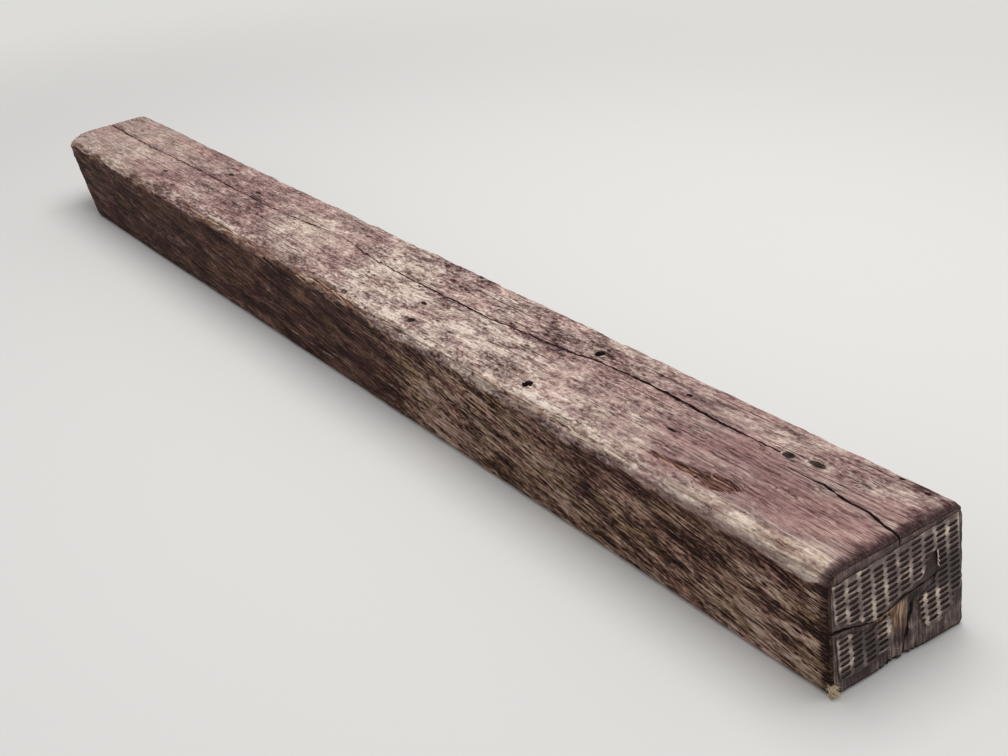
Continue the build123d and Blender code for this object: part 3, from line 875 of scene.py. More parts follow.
def weathered_face_material(relief_height, film_tint, dirt_colour):
    """Creosoted oak, weathered: rosy brown film, opened by the sun to cream and dark fibre."""
    material = new_material("creosoted_weathered_oak")
    tree = material.node_tree
    place = add_node(tree, "ShaderNodeTexCoord", out="Object")
    grain = add_node(tree, "ShaderNodeAttribute", out="Vector", attribute_name="grain")
    tone = {
        name: add_node(tree, "ShaderNodeAttribute", out="Fac", attribute_name=name)
        for name in ("bare", "opened", "red", "topness", "rim", "straw")
    }
    # On the long sides the strokes are coarser and slope down towards the plated end
    axes = add_node(tree, "ShaderNodeSeparateXYZ", [place]).node.outputs
    height = add_node(tree, "ShaderNodeMath", [axes["Z"], 1.5], operation="MULTIPLY")
    sloped = add_node(tree, "ShaderNodeMath", [axes["X"], 0.20, height], operation="MULTIPLY_ADD")
    stretched = add_node(tree, "ShaderNodeMath", [axes["X"], 0.75], operation="MULTIPLY")
    side_place = add_node(tree, "ShaderNodeCombineXYZ", [stretched, axes["Y"], sloped])
    on_side = add_node(tree, "ShaderNodeMath", [tone["topness"], 0.5], operation="LESS_THAN")
    vector = add_node(
        tree, "ShaderNodeMix", {0: on_side, 4: grain, 5: side_place}, out=1, data_type="VECTOR"
    )
    sway = add_node(
        tree, "ShaderNodeTexNoise", {"Vector": vector, "Scale": 26.0, "Detail": 2.0}, out="Color"
    )
    vector = add_node(
        tree,
        "ShaderNodeVectorMath",
        [sway, (0.016, 0.007, 0.009), vector],
        operation="MULTIPLY_ADD",
    )
    noise = {}
    for index, (name, (length, wide, detail, rough)) in enumerate(FACE_GRAIN.items()):
        scale = (1 / (length * MM), 1 / (wide * MM), 1 / (wide * MM))
        moved = add_node(
            tree,
            "ShaderNodeMapping",
            {"Vector": vector, "Location": (index * 7.3, index * 3.1, 0.0), "Scale": scale},
        )
        noise[name] = add_node(
            tree,
            "ShaderNodeTexNoise",
            {"Vector": moved, "Scale": 1.0, "Detail": detail, "Roughness": rough},
        )
    # Strokes centred on nought: fine streaks in the film, patches and flecks where it is open
    crisp = {
        name: add_node(
            tree,
            "ShaderNodeMapRange",
            {"Value": noise[name], "From Min": 0.5 - edge, "From Max": 0.5 + edge},
        )
        for name, edge in (
            ("patch", 0.15), ("tuft", 0.13), ("stroke", 0.12), ("fleck", 0.11), ("fibre", 0.12)
        )
    }
    mixture = {}
    for name, weights in (
        ("film", (("patch", 0.30), ("stroke", 0.22), ("fleck", 0.14), ("fibre", 0.50))),
        (
            "open",
            (("patch", 0.34), ("tuft", 0.18), ("stroke", 0.24), ("fleck", 0.26), ("fibre", 0.14)),
        ),
    ):
        total = -0.5 * sum(weight for _, weight in weights)
        for layer, weight in weights:
            total = add_node(
                tree, "ShaderNodeMath", [crisp[layer], weight, total], operation="MULTIPLY_ADD"
            )
        mixture[name] = total
    grain_open = add_node(
        tree, "ShaderNodeMapRange", {"Value": tone["opened"], "From Min": 0.45, "From Max": 0.85}
    )
    fewer = add_node(
        tree, "ShaderNodeMath", [tone["topness"], 0.35, 0.65], operation="MULTIPLY_ADD"
    )
    grain_open = add_node(tree, "ShaderNodeMath", [grain_open, fewer], operation="MULTIPLY")
    strokes = add_node(
        tree, "ShaderNodeMix", {0: grain_open, 2: mixture["film"], 3: mixture["open"]}
    )
    contrast = add_node(
        tree,
        "ShaderNodeMapRange",
        {"Value": tone["opened"], "To Min": 0.19, "From Max": 1.5, "To Max": 1.45},
    )
    level = 0.21
    for layer, weight in ((tone["bare"], 0.52), (noise["cloud"], 0.18), (strokes, contrast)):
        level = add_node(tree, "ShaderNodeMath", [layer, weight, level], operation="MULTIPLY_ADD")
    top_colour = add_node(
        tree,
        "ShaderNodeValToRGB",
        [level],
        stops=[
            (0.06, "#2c1e1c"),
            (0.26, "#5f4845"),
            (0.44, "#8d736f"),
            (0.57, "#a88d86"),
            (0.72, "#c0aa9e"),
            (0.86, "#dac5b7"),
            (1.00, "#eedccf"),
        ],
    )
    side_colour = add_node(
        tree,
        "ShaderNodeValToRGB",
        [level],
        stops=[
            (0.08, "#1e1413"),
            (0.26, "#402c29"),
            (0.40, "#6e5348"),
            (0.54, "#9b806d"),
            (0.70, "#cbad93"),
            (0.92, "#e8d5c4"),
        ],
    )
    colour = add_node(
        tree,
        "ShaderNodeMix",
        {0: tone["topness"], 6: side_colour, 7: top_colour},
        out=2,
        data_type="RGBA",
    )
    # Rosier where the film is whole, greener where it is bleached
    hue = add_node(tree, "ShaderNodeMath", [noise["cloud"], 0.6, 0.20], operation="MULTIPLY_ADD")
    hue = add_node(tree, "ShaderNodeMath", [tone["bare"], -0.36, hue], operation="MULTIPLY_ADD")
    tint = add_node(
        tree,
        "ShaderNodeValToRGB",
        [hue],
        stops=[(0.10, "#fcf8ee"), (0.26, "#ffffff"), (0.42, "#ffeef0")],
    )
    tinted = add_node(
        tree, "ShaderNodeMath", [tone["opened"], -0.5, 1.15], operation="MULTIPLY_ADD"
    )
    tinted = add_node(tree, "ShaderNodeMath", [tinted, tone["topness"]], operation="MULTIPLY")
    # The sides go from ochre to purplish in broad patches
    side_tint = add_node(
        tree,
        "ShaderNodeValToRGB",
        [noise["cloud"]],
        stops=[(0.38, "#fff6e6"), (0.50, "#fff8fa"), (0.62, "#ffeaf0")],
    )
    off_top = add_node(tree, "ShaderNodeMath", [1.0, tone["topness"]], operation="SUBTRACT")
    # Reddish fresh or rusty wood
    red_colour = add_node(
        tree,
        "ShaderNodeValToRGB",
        [noise["fibre"]],
        stops=[(0.38, "#2e1c19"), (0.49, "#573a31"), (0.59, "#85604f"), (0.70, "#c79f88")],
    )
    red_share = tone["red"]
    for name, weight in (("fleck", 1.1), ("fibre", 0.9)):
        red_share = add_node(
            tree, "ShaderNodeMath", [noise[name], weight, red_share], operation="MULTIPLY_ADD"
        )
    red_mask = add_node(
        tree,
        "ShaderNodeMapRange",
        {"Value": red_share, "From Min": 1.45, "From Max": 2.05, "To Max": 0.85},
    )
    # Dry straw-coloured crushed corner
    straw_colour = add_node(
        tree,
        "ShaderNodeValToRGB",
        [noise["fleck"]],
        stops=[(0.35, "#8d7048"), (0.50, "#dcc69c"), (0.65, "#faeccb")],
    )
    # Hairline checks, drawn about 1 mm wide so that they show
    off_line = add_node(tree, "ShaderNodeMath", [noise["line"], 0.5], operation="SUBTRACT")
    off_line = add_node(tree, "ShaderNodeMath", [off_line], operation="ABSOLUTE")
    gap = add_node(
        tree,
        "ShaderNodeMapRange",
        {"Value": noise["broken"], "From Min": 0.50, "From Max": 0.68, "To Max": 0.022},
    )
    line_mask = add_node(
        tree, "ShaderNodeMapRange", {"Value": off_line, "From Min": gap, "From Max": 0.0}
    )
    # Dark pits, 3 to 6 mm
    cells = add_node(
        tree, "ShaderNodeMapping", {"Vector": vector, "Scale": (1 / 0.024, 1 / 0.012, 1 / 0.012)}
    )
    spot = add_node(tree, "ShaderNodeTexVoronoi", {"Vector": cells, "Scale": 1.0}, out="Distance")
    pick = spot.node.outputs["Color"]
    picked = add_node(tree, "ShaderNodeMath", [pick, 0.66], operation="GREATER_THAN")
    picked = add_node(tree, "ShaderNodeMath", [picked, contrast], operation="MULTIPLY")
    spot = add_node(
        tree,
        "ShaderNodeMapRange",
        {"Value": spot, "From Min": 0.30, "From Max": 0.14, "To Max": 0.7},
    )
    spot = add_node(tree, "ShaderNodeMath", [spot, picked], operation="MULTIPLY")
    dark = add_node(tree, "ShaderNodeMath", [line_mask, spot], operation="MAXIMUM")
    rim_dark = add_node(tree, "ShaderNodeMath", [tone["rim"], 0.8], operation="MULTIPLY")
    dark = add_node(tree, "ShaderNodeMath", [dark, rim_dark], operation="MAXIMUM")
    # Each layer: how far it covers, its colour, and whether it covers or tints
    for share, over, blend in (
        (tinted, tint, "MULTIPLY"),
        (off_top, side_tint, "MULTIPLY"),
        (1.0, film_tint, "MULTIPLY"),
        (red_mask, red_colour, "MIX"),
        (tone["straw"], straw_colour, "MIX"),
        (dark, dirt_colour, "MIX"),
    ):
        colour = add_node(
            tree,
            "ShaderNodeMix",
            {0: share, 6: colour, 7: over},
            out=2,
            data_type="RGBA",
            blend_type=blend,
        )
    # Relief too fine for the mesh
    relief = add_node(tree, "ShaderNodeMath", [strokes, contrast], operation="MULTIPLY")
    relief = add_node(tree, "ShaderNodeMath", [dark, -0.5, relief], operation="MULTIPLY_ADD")
    bump = add_node(
        tree, "ShaderNodeBump", {"Height": relief, "Strength": 1.0, "Distance": relief_height}
    )
    gloss = add_node(
        tree,
        "ShaderNodeMapRange",
        {"Value": level, "From Min": 0.3, "From Max": 0.8, "To Min": 0.62, "To Max": 0.92},
    )
    shader = add_node(
        tree,
        "ShaderNodeBsdfPrincipled",
        {
            "Base Color": colour,
            "Roughness": gloss,
            "IOR": 1.5,
            "Specular IOR Level": 0.04,
            "Normal": bump,
        },
    )
    add_node(tree, "ShaderNodeOutputMaterial", [shader])
    return material


def end_grain_material(under_plate_shade_colour):
    """Sawn oak end grain, soaked dark with creosote, dry and torn where the plate let go."""
    material = new_material("creosoted_end_grain")
    tree = material.node_tree
    place = add_node(tree, "ShaderNodeTexCoord", out="Object")
    tone = {
        name: add_node(tree, "ShaderNodeAttribute", out="Fac", attribute_name=name)
        for name in ("bare", "opened", "red", "straw", "under")
    }
    wobble = add_node(
        tree, "ShaderNodeTexNoise", {"Vector": place, "Scale": 22.0, "Detail": 2.0}, out="Color"
    )
    moved = add_node(tree, "ShaderNodeVectorMath", [place, PITH], operation="SUBTRACT")
    moved = add_node(
        tree, "ShaderNodeVectorMath", [wobble, (0.0, 0.014, 0.014), moved], operation="MULTIPLY_ADD"
    )
    flat = add_node(tree, "ShaderNodeVectorMath", [moved, (0.0, 1.0, 1.0)], operation="MULTIPLY")
    radius = add_node(tree, "ShaderNodeVectorMath", [flat], out="Value", operation="LENGTH")
    # Growth rings
    ring_rate = 2 * math.pi / (RING_PITCH * MM)
    turns = add_node(tree, "ShaderNodeMath", [radius, ring_rate], operation="MULTIPLY")
    ring = add_node(tree, "ShaderNodeMath", [turns], operation="SINE")
    noise = {}
    for name, scale, detail in (
        ("speck", (700.0, 700.0, 700.0), 4.0),
        ("stain", (45.0, 45.0, 45.0), 5.0),
        ("torn", (60.0, 380.0, 34.0), 4.0),
    ):
        mapped = add_node(tree, "ShaderNodeMapping", {"Vector": place, "Scale": scale})
        noise[name] = add_node(
            tree, "ShaderNodeTexNoise", {"Vector": mapped, "Scale": 1.0, "Detail": detail}
        )
    share = add_node(tree, "ShaderNodeMath", [ring, 0.035, tone["bare"]], operation="MULTIPLY_ADD")
    for name, weight in (("stain", 0.55), ("speck", 0.25)):
        spread_out = add_node(
            tree, "ShaderNodeMapRange", {"Value": noise[name], "From Min": 0.3, "From Max": 0.7}
        )
        share = add_node(
            tree, "ShaderNodeMath", [spread_out, weight, share], operation="MULTIPLY_ADD"
        )
    spans = {"From Min": 0.3, "From Max": 0.7, "To Min": -0.25, "To Max": 0.25}
    fibres = add_node(tree, "ShaderNodeMapRange", {"Value": noise["torn"], **spans})
    share = add_node(
        tree, "ShaderNodeMath", [fibres, tone["opened"], share], operation="MULTIPLY_ADD"
    )
    share = add_node(tree, "ShaderNodeMath", [share, 0.84], operation="MULTIPLY")
    colour = add_node(
        tree,
        "ShaderNodeValToRGB",
        [share],
        stops=[
            (0.18, "#1c1415"),
            (0.40, "#40322f"),
            (0.62, "#5e4d4b"),
            (0.80, "#84716a"),
            (0.95, "#b09e92"),
        ],
    )
    warm = add_node(
        tree,
        "ShaderNodeValToRGB",
        [noise["torn"]],
        stops=[(0.34, "#5a4336"), (0.48, "#a5846c"), (0.62, "#dfbfa0")],
    )
    # Painted shade on the end grain under the plate
    under = add_node(tree, "ShaderNodeMath", [tone["under"], 0.8], operation="MULTIPLY")
    layers = ((tone["red"], warm), (tone["straw"], srgb("#d3bd92")), (under, under_plate_shade_colour))
    for share, over in layers:
        colour = add_node(
            tree, "ShaderNodeMix", {0: share, 6: colour, 7: over}, out=2, data_type="RGBA"
        )
    height = noise["speck"]
    for layer, weight in ((ring, 0.15), (noise["torn"], 0.8)):
        height = add_node(tree, "ShaderNodeMath", [layer, weight, height], operation="MULTIPLY_ADD")
    bump = add_node(tree, "ShaderNodeBump", {"Height": height, "Strength": 0.9, "Distance": 0.001})
    shader = add_node(
        tree,
        "ShaderNodeBsdfPrincipled",
        {
            "Base Color": colour,
            "Roughness": 0.7,
            "IOR": 1.5,
            "Specular IOR Level": 0.35,
            "Normal": bump,
        },
    )
    add_node(tree, "ShaderNodeOutputMaterial", [shader])
    return material


def check_wall_material():
    """Oak split open, never sawn: dark dirty walls with a few paler torn fibres."""
    material = new_material("split_oak_in_check")
    tree = material.node_tree
    place = add_node(tree, "ShaderNodeTexCoord", out="Object")
    mapped = add_node(tree, "ShaderNodeMapping", {"Vector": place, "Scale": (12.0, 300.0, 300.0)})
    fibre = add_node(tree, "ShaderNodeTexNoise", {"Vector": mapped, "Scale": 1.0, "Detail": 4.0})
    colour = add_node(
        tree,
        "ShaderNodeValToRGB",
        [fibre],
        stops=[(0.30, "#1b1413"), (0.55, "#382a28"), (0.80, "#6b554a")],
    )
    bump = add_node(tree, "ShaderNodeBump", {"Height": fibre, "Strength": 0.8, "Distance": 0.001})
    shader = add_node(
        tree,
        "ShaderNodeBsdfPrincipled",
        {"Base Color": colour, "Roughness": 0.9, "IOR": 1.5, "Normal": bump},
    )
    add_node(tree, "ShaderNodeOutputMaterial", [shader])
    return material


def splinter_material():
    """Dry torn oak fibre, greyed by the sun: straw to pinkish cream."""
    material = new_material("torn_oak_fibre")
    tree = material.node_tree
    place = add_node(tree, "ShaderNodeTexCoord", out="Object")
    shade = add_node(tree, "ShaderNodeAttribute", out="Fac", attribute_name="shade")
    fibre = add_node(tree, "ShaderNodeTexNoise", {"Vector": place, "Scale": 400.0, "Detail": 2.0})
    mixed = add_node(tree, "ShaderNodeMath", [fibre, 0.4, shade], operation="MULTIPLY_ADD")
    colour = add_node(
        tree,
        "ShaderNodeValToRGB",
        [mixed],
        stops=[
            (0.20, "#5a3a32"),
            (0.42, "#93614c"),
            (0.62, "#c39b80"),
            (0.85, "#e4cfba"),
            (1.00, "#f8e8c4"),
        ],
    )
    shader = add_node(
        tree, "ShaderNodeBsdfPrincipled", {"Base Color": colour, "Roughness": 0.85, "IOR": 1.5}
    )
    add_node(tree, "ShaderNodeOutputMaterial", [shader])
    return material


def plate_material():
    """Galvanised steel sheet, punched and pressed: tarry brown dirt, worn zinc and painted
    highlight on raised edges.
    """
    material = new_material("weathered_galvanised_sheet")
    tree = material.node_tree
    place = add_node(tree, "ShaderNodeTexCoord", out="Object")
    wear_and_highlight = add_node(tree, "ShaderNodeAttribute", out="Fac", attribute_name="wear_and_highlight")
    tar = add_node(tree, "ShaderNodeAttribute", out="Fac", attribute_name="tar")
    stain = add_node(tree, "ShaderNodeTexNoise", {"Vector": place, "Scale": 62.0, "Detail": 6.0})
    stain = add_node(tree, "ShaderNodeMapRange", {"Value": stain, "From Min": 0.3, "From Max": 0.7})
    speck = add_node(tree, "ShaderNodeTexNoise", {"Vector": place, "Scale": 480.0, "Detail": 3.0})
    # Lighter on webs and raised edges: worn zinc, and painted highlight where those edges catch the
    # light
    rubbed_and_highlight = add_node(tree, "ShaderNodeMath", [stain, 0.9, 0.15], operation="MULTIPLY_ADD")
    rubbed_and_highlight = add_node(tree, "ShaderNodeMath", [rubbed_and_highlight, wear_and_highlight], operation="MULTIPLY")
    share = 0.28
    for layer, weight in ((stain, 0.45), (rubbed_and_highlight, 0.85), (speck, 0.25), (tar, -0.6)):
        share = add_node(tree, "ShaderNodeMath", [layer, weight, share], operation="MULTIPLY_ADD")
    share = add_node(tree, "ShaderNodeMath", [share, 0.62], operation="MULTIPLY")
    colour = add_node(
        tree,
        "ShaderNodeValToRGB",
        [share],
        stops=[
            (0.18, "#4a3d3b"),
            (0.40, "#6c5a54"),
            (0.58, "#8f7c75"),
            (0.74, "#b8a499"),
            (0.90, "#d6c5b7"),
            (1.00, "#efdcc6"),
        ],
    )
    metallic = add_node(
        tree,
        "ShaderNodeMapRange",
        {"Value": share, "From Min": 0.5, "From Max": 0.9, "To Min": 0.0, "To Max": 0.4},
    )
    height = add_node(tree, "ShaderNodeMath", [stain, speck], operation="ADD")
    bump = add_node(tree, "ShaderNodeBump", {"Height": height, "Strength": 0.5, "Distance": 0.0005})
    shader = add_node(
        tree,
        "ShaderNodeBsdfPrincipled",
        {"Base Color": colour, "Metallic": metallic, "Roughness": 0.55, "Normal": bump},
    )
    add_node(tree, "ShaderNodeOutputMaterial", [shader])
    return material


def seen_directly(tree):
    """1 for rays from the camera and for mirrored rays, 0 for the rest."""
    rays = add_node(tree, "ShaderNodeLightPath").node.outputs
    either = [rays["Is Camera Ray"], rays["Is Glossy Ray"]]
    return add_node(tree, "ShaderNodeMath", either, operation="MAXIMUM")


def backdrop_material(ground_colour):
    """Pale matt board, darker to bounced light, that fades into an even pale ground far off."""
    material = new_material("pale_backdrop")
    tree = material.node_tree
    place = add_node(tree, "ShaderNodeTexCoord", out="Object")
    far = add_node(tree, "ShaderNodeVectorMath", [place, (0.6, 1.0, 1.0)], operation="MULTIPLY")
    far = add_node(tree, "ShaderNodeVectorMath", [far], out="Value", operation="LENGTH")
    far = add_node(
        tree,
        "ShaderNodeMapRange",
        {"Value": far, "From Min": 1.0, "From Max": 2.4},
        interpolation_type="SMOOTHSTEP",
    )
    seen = seen_directly(tree)
    far = add_node(tree, "ShaderNodeMath", [far, seen], operation="MULTIPLY")
    colour = add_node(
        tree,
        "ShaderNodeMix",
        {0: seen, 6: srgb("#a5a29e"), 7: srgb("#e4e2de")},
        out=2,
        data_type="RGBA",
    )
    board = add_node(
        tree, "ShaderNodeBsdfPrincipled", {"Base Color": colour, "Roughness": 0.95, "IOR": 1.5}
    )
    ground = add_node(tree, "ShaderNodeEmission", {"Color": ground_colour, "Strength": 1.0})
    shader = add_node(tree, "ShaderNodeMixShader", [far, board, ground])
    add_node(tree, "ShaderNodeOutputMaterial", [shader])
    return material


# End plate


def sheet_grid():
    """The flat punched sheet, its slots cut out and each strand raised like a louvre, in mm."""
    columns = round(PLATE["width"] / PLATE["column_pitch"])
    across_cells = columns * CELLS_PER_COLUMN
    core_height = PLATE["height"] - 2 * PLATE["row_margin"]
    core_rows = round(core_height / PLATE["row_pitch"] * CELLS_PER_ROW)
    down_cells = core_rows + 2
    step_u = PLATE["column_pitch"] / CELLS_PER_COLUMN
    step_v = PLATE["row_pitch"] / CELLS_PER_ROW
    bm = bmesh.new()
    bmesh.ops.create_grid(bm, x_segments=across_cells, y_segments=down_cells, size=0.5)
    wear_and_highlight_layer = bm.verts.layers.float.new("wear_and_highlight")
    lift_along = (0.0, 0.0, 0.55, 0.85, 1.0, 0.85, 0.55, 0.0)
    for vert in bm.verts:
        i = round((vert.co.x + 0.5) * across_cells)
        j = round((0.5 - vert.co.y) * down_cells)
        row_line = np.clip(PLATE["row_margin"] + (j - 1) * step_v, 0, PLATE["height"])
        if j in (0, down_cells):
            row_line = PLATE["height"] * (j > 0)
        column = min(i // CELLS_PER_COLUMN, columns - 1)
        turn = (j - 1 - 2 * (column % 2)) % CELLS_PER_ROW
        lift_down = {3: 1.0, 0: 0.55, 1: 0.1}.get(turn, 0.3)
        lift = lift_along[i % CELLS_PER_COLUMN] * lift_down
        # Strands narrow towards their middle, webs sway between the staggered slots
        thinning = (0, 0, 0.35, 0.6, 0.6, 0.6, 0.35, 0)[i % CELLS_PER_COLUMN]
        row_line += thinning * {3: 1, 1: -1}.get(turn, 0)
        web = i % CELLS_PER_COLUMN in (0, 1, CELLS_PER_COLUMN - 1)
        # The ends of a slot are pointed
        toward = {1: 1, CELLS_PER_COLUMN - 1: -1}.get(i % CELLS_PER_COLUMN, 0)
        point = toward * {1: 0.7, 2: -1.2, 3: 0.7}.get(turn, 0)
        # Webs and raised strand edges are lighter: worn zinc, and painted highlight where the edges
        # catch the light
        vert[wear_and_highlight_layer] = 1.0 if web else 0.15 + 0.45 * lift
        column_line = np.clip(i * step_u + point, 0, PLATE["width"])
        vert.co = (column_line, row_line, 1.3 * lift + 0.3 * web)
    gone = []
    for face in bm.faces:
        middle = face.calc_center_median()
        i = int(middle.x / step_u)
        j = int((middle.y - PLATE["row_margin"]) / step_v + 100) - 100
        column = i // CELLS_PER_COLUMN
        turn = (j - 2 * (column % 2)) % CELLS_PER_ROW
        inside = 0 <= j < core_rows and 1 <= i % CELLS_PER_COLUMN <= CELLS_PER_COLUMN - 2
        half_slot = column % 2 and j in (0, core_rows - 1)
        if inside and turn in (1, 2) and not half_slot:
            gone.append(face)
    bmesh.ops.delete(bm, geom=gone, context="FACES")
    return bm


def torn_prism(outline, rng):
    """A closed prism with a ragged outline, in mm: offset, drop and height off the end."""
    points = np.array(outline, float)
    ragged = []
    for first, last in zip(points, np.roll(points, -1, axis=0)):
        count = max(1, int(np.hypot(*(last - first)) / 3.5))
        for step in range(count):
            jitter = rng.uniform(-0.9, 0.9, 2) * (step > 0)
            ragged.append(first + (last - first) * step / count + jitter)
    bm = bmesh.new()
    face = bm.faces.new([bm.verts.new((u, v, -20)) for u, v in ragged])
    raised = bmesh.ops.extrude_face_region(bm, geom=[face])
    top = [v for v in raised["geom"] if isinstance(v, bmesh.types.BMVert)]
    bmesh.ops.translate(bm, vec=(0, 0, 40), verts=top)
    bmesh.ops.recalc_face_normals(bm, faces=bm.faces[:])
    return bm


def plate_tar(offset, drop):
    """Tar on the main plate: beside the torn hole, down the right edge and along the foot."""
    beside = smooth(150, 162, offset) * smooth(48, 58, drop) * smooth(104, 92, drop)
    right = smooth(193, 200, offset) * smooth(60, 70, drop)
    foot = smooth(102, 110, drop) * smooth(197, 190, offset)
    return 1.3 * beside + 1.2 * right + 0.08 * foot


def fragment_tar(offset, drop):
    """Tar on the fragment: down its middle, along its torn top and at its foot."""
    middle = smooth(34, 44, offset) * smooth(82, 74, offset)
    foot = smooth(138, 150, drop) * smooth(60, 40, offset)
    return 1.25 * middle + 0.9 * smooth(102, 94, drop) + 0.9 * foot


def torn_plate(name, outline, material, seed, tar, bend):
    """One torn piece of the sheet just off the end grain, its foot bent out by bend mm."""
    rng = np.random.default_rng(seed)
    plate = piece(name, sheet_grid(), [material])
    mesh = plate.data
    co, _ = mesh_arrays(mesh)
    # Turn the sheet to its tilt about its middle, still in mm
    middle_u, middle_v = PLATE["width"] / 2, PLATE["height"] / 2
    u, v = co[:, 0] - middle_u, co[:, 1] - middle_v
    tilt = math.radians(PLATE["tilt"])
    offset = PLATE["left"] + middle_u + u * math.cos(tilt) + v * math.sin(tilt)
    drop = PLATE["top"] + middle_v - u * math.sin(tilt) + v * math.cos(tilt)
    wave = layered_noise(np.stack([offset, drop], 1), (35, 28), seed, 2)
    lift = co[:, 2] + 0.25 + 0.5 * wave + bend * smooth(108, 150, drop)
    set_places(mesh, np.stack([offset, drop, lift], 1))
    thick = plate.modifiers.new("thickness", "SOLIDIFY")
    thick.thickness = PLATE["thickness"]
    thick.offset = 0.0
    apply_modifiers(plate)
    carve(plate, torn_prism(outline, rng), operation="INTERSECT")
    soft = plate.modifiers.new("soft edges", "BEVEL")
    soft.width = SHEET_EDGE
    soft.segments = 2
    soft.limit_method = "ANGLE"
    soft.angle_limit = math.radians(50)
    apply_modifiers(plate)
    mesh = plate.data
    co, _ = mesh_arrays(mesh)
    lift = np.clip(co[:, 2], 0.15, None)
    x = PLATED_END + lift * MM
    placed = np.stack([x, co[:, 0] * MM - HALF_WIDTH, THICKNESS - co[:, 1] * MM], 1)
    set_places(mesh, placed)
    mesh.flip_normals()
    write_attribute(mesh, "tar", tar(co[:, 0], co[:, 1]))
    for polygon in mesh.polygons:
        polygon.use_smooth = True
    mesh.set_sharp_from_angle(angle=math.radians(40))
    return plate


def curled_tongue(material):
    """The strip of sheet torn out of the plate, rolled outwards from its root."""
    rng = np.random.default_rng(8)
    bm = bmesh.new()
    turns, bands = 12, 8
    bmesh.ops.create_grid(bm, x_segments=turns, y_segments=bands, size=0.5)
    wear_and_highlight_layer = bm.verts.layers.float.new("wear_and_highlight")
    tar_layer = bm.verts.layers.float.new("tar")
    for vert in bm.verts:
        turn, band = vert.co.x + 0.5, vert.co.y + 0.5
        ragged = 1 - 0.35 * turn * abs(math.sin(9 * band + 0.6))
        angle = math.radians(CURL["sweep"]) * turn * ragged
        radius = CURL["radius"] * (1 - 0.25 * band)
        offset = CURL["root"] - radius * math.sin(angle)
        drop = CURL["drop"] + CURL["width"] * band + 5 * turn * (0.5 - band)
        drop += rng.uniform(-0.4, 0.4)
        lift = PLATE["thickness"] / 2 + radius * (1 - math.cos(angle))
        # Set high so the roll is light all over: worn metal, with painted highlight on its rolled
        # face
        vert[wear_and_highlight_layer] = 2.0 + 0.5 * turn
        vert[tar_layer] = -0.1
        vert.co = (PLATED_END + lift * MM, across(offset), up(drop))
    tongue = piece("curled_tongue", bm, [material])
    thick = tongue.modifiers.new("thickness", "SOLIDIFY")
    thick.thickness = TONGUE_THICKNESS * MM
    thick.offset = 0.0
    soft = tongue.modifiers.new("soft edges", "BEVEL")
    soft.width = TONGUE_EDGE * MM
    soft.segments = 2
    apply_modifiers(tongue)
    keep_inside(tongue.data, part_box("end_plate"))
    for polygon in tongue.data.polygons:
        polygon.use_smooth = True
    return tongue


# Splinters


def add_splinter(bm, root, direction, side, length, width, bend, shade):
    """Adds one tapered, bent sliver to bm."""
    part = bmesh.new()
    bmesh.ops.create_cone(
        part, cap_ends=True, segments=5, radius1=width / 2, radius2=width * 0.06, depth=length
    )
    edges = [e for e in part.edges if abs(e.verts[0].co.z - e.verts[1].co.z) > length / 2]
    bmesh.ops.subdivide_edges(part, edges=edges, cuts=2)
    bmesh.ops.translate(part, vec=(0, 0, length / 2), verts=part.verts[:])
    layer = part.verts.layers.float.new("shade")
    rise = direction.cross(side).normalized()
    for vert in part.verts:
        share = vert.co.z / length
        place = direction * vert.co.z + side * vert.co.x + rise * vert.co.y * 0.5
        vert.co = root + place + rise * (bend * length * share ** 2)
        vert[layer] = shade * (0.7 + 0.3 * share)
    bmesh.ops.recalc_face_normals(part, faces=part.faces[:])
    append(bm, part)


# Operators


class SleeperSettings(bpy.types.PropertyGroup):
    """Sizes and colours that a user would change."""

    rows: bpy.props.IntProperty(
        name="Rows", description="Cuts along the length", default=420, min=20
    )
    columns: bpy.props.IntProperty(
        name="Columns", description="Cuts across the top", default=108, min=8
    )
    levels: bpy.props.IntProperty(name="Levels", description="Cuts up the side", default=84, min=8)
    budget: bpy.props.IntProperty(
        name="Triangles", description="Triangles kept before the checks are cut", default=136000
    )
    hairline_checks: bpy.props.IntProperty(
        name="Hairline checks", description="Fine checks cut in the long faces", default=150, min=0
    )
    relief: bpy.props.FloatProperty(
        name="Relief",
        description="Height of the grain too fine for the mesh",
        default=0.002,
        min=0.0,
        unit="LENGTH",
    )
    film_tint: bpy.props.FloatVectorProperty(
        name="Film tint",
        description="Tint laid over the weathered faces",
        size=4,
        subtype="COLOR",
        default=(1.0, 1.0, 1.0, 1.0),
        min=0.0,
        max=1.0,
    )
    dirt_colour: bpy.props.FloatVectorProperty(
        name="Dirt",
        description="Colour of hairlines, pits and the bruised rim",
        size=4,
        subtype="COLOR",
        default=srgb("#2a1f20"),
        min=0.0,
        max=1.0,
    )
    # Colour of the painted shade on the end grain under the plate
    under_plate_shade_colour: bpy.props.FloatVectorProperty(
        name="Tar",
        description="Colour of the damp wood under the plate",
        size=4,
        subtype="COLOR",
        default=srgb("#44352f"),
        min=0.0,
        max=1.0,
    )
    ground_colour: bpy.props.FloatVectorProperty(
        name="Ground",
        description="Colour that the floor fades into",
        size=4,
        subtype="COLOR",
        default=srgb("#dddcd9"),
        min=0.0,
        max=1.0,
    )
    lamp_power: bpy.props.FloatProperty(
        name="Lamp", description="Power of the softbox", default=120.0, min=0.0, unit="POWER"
    )


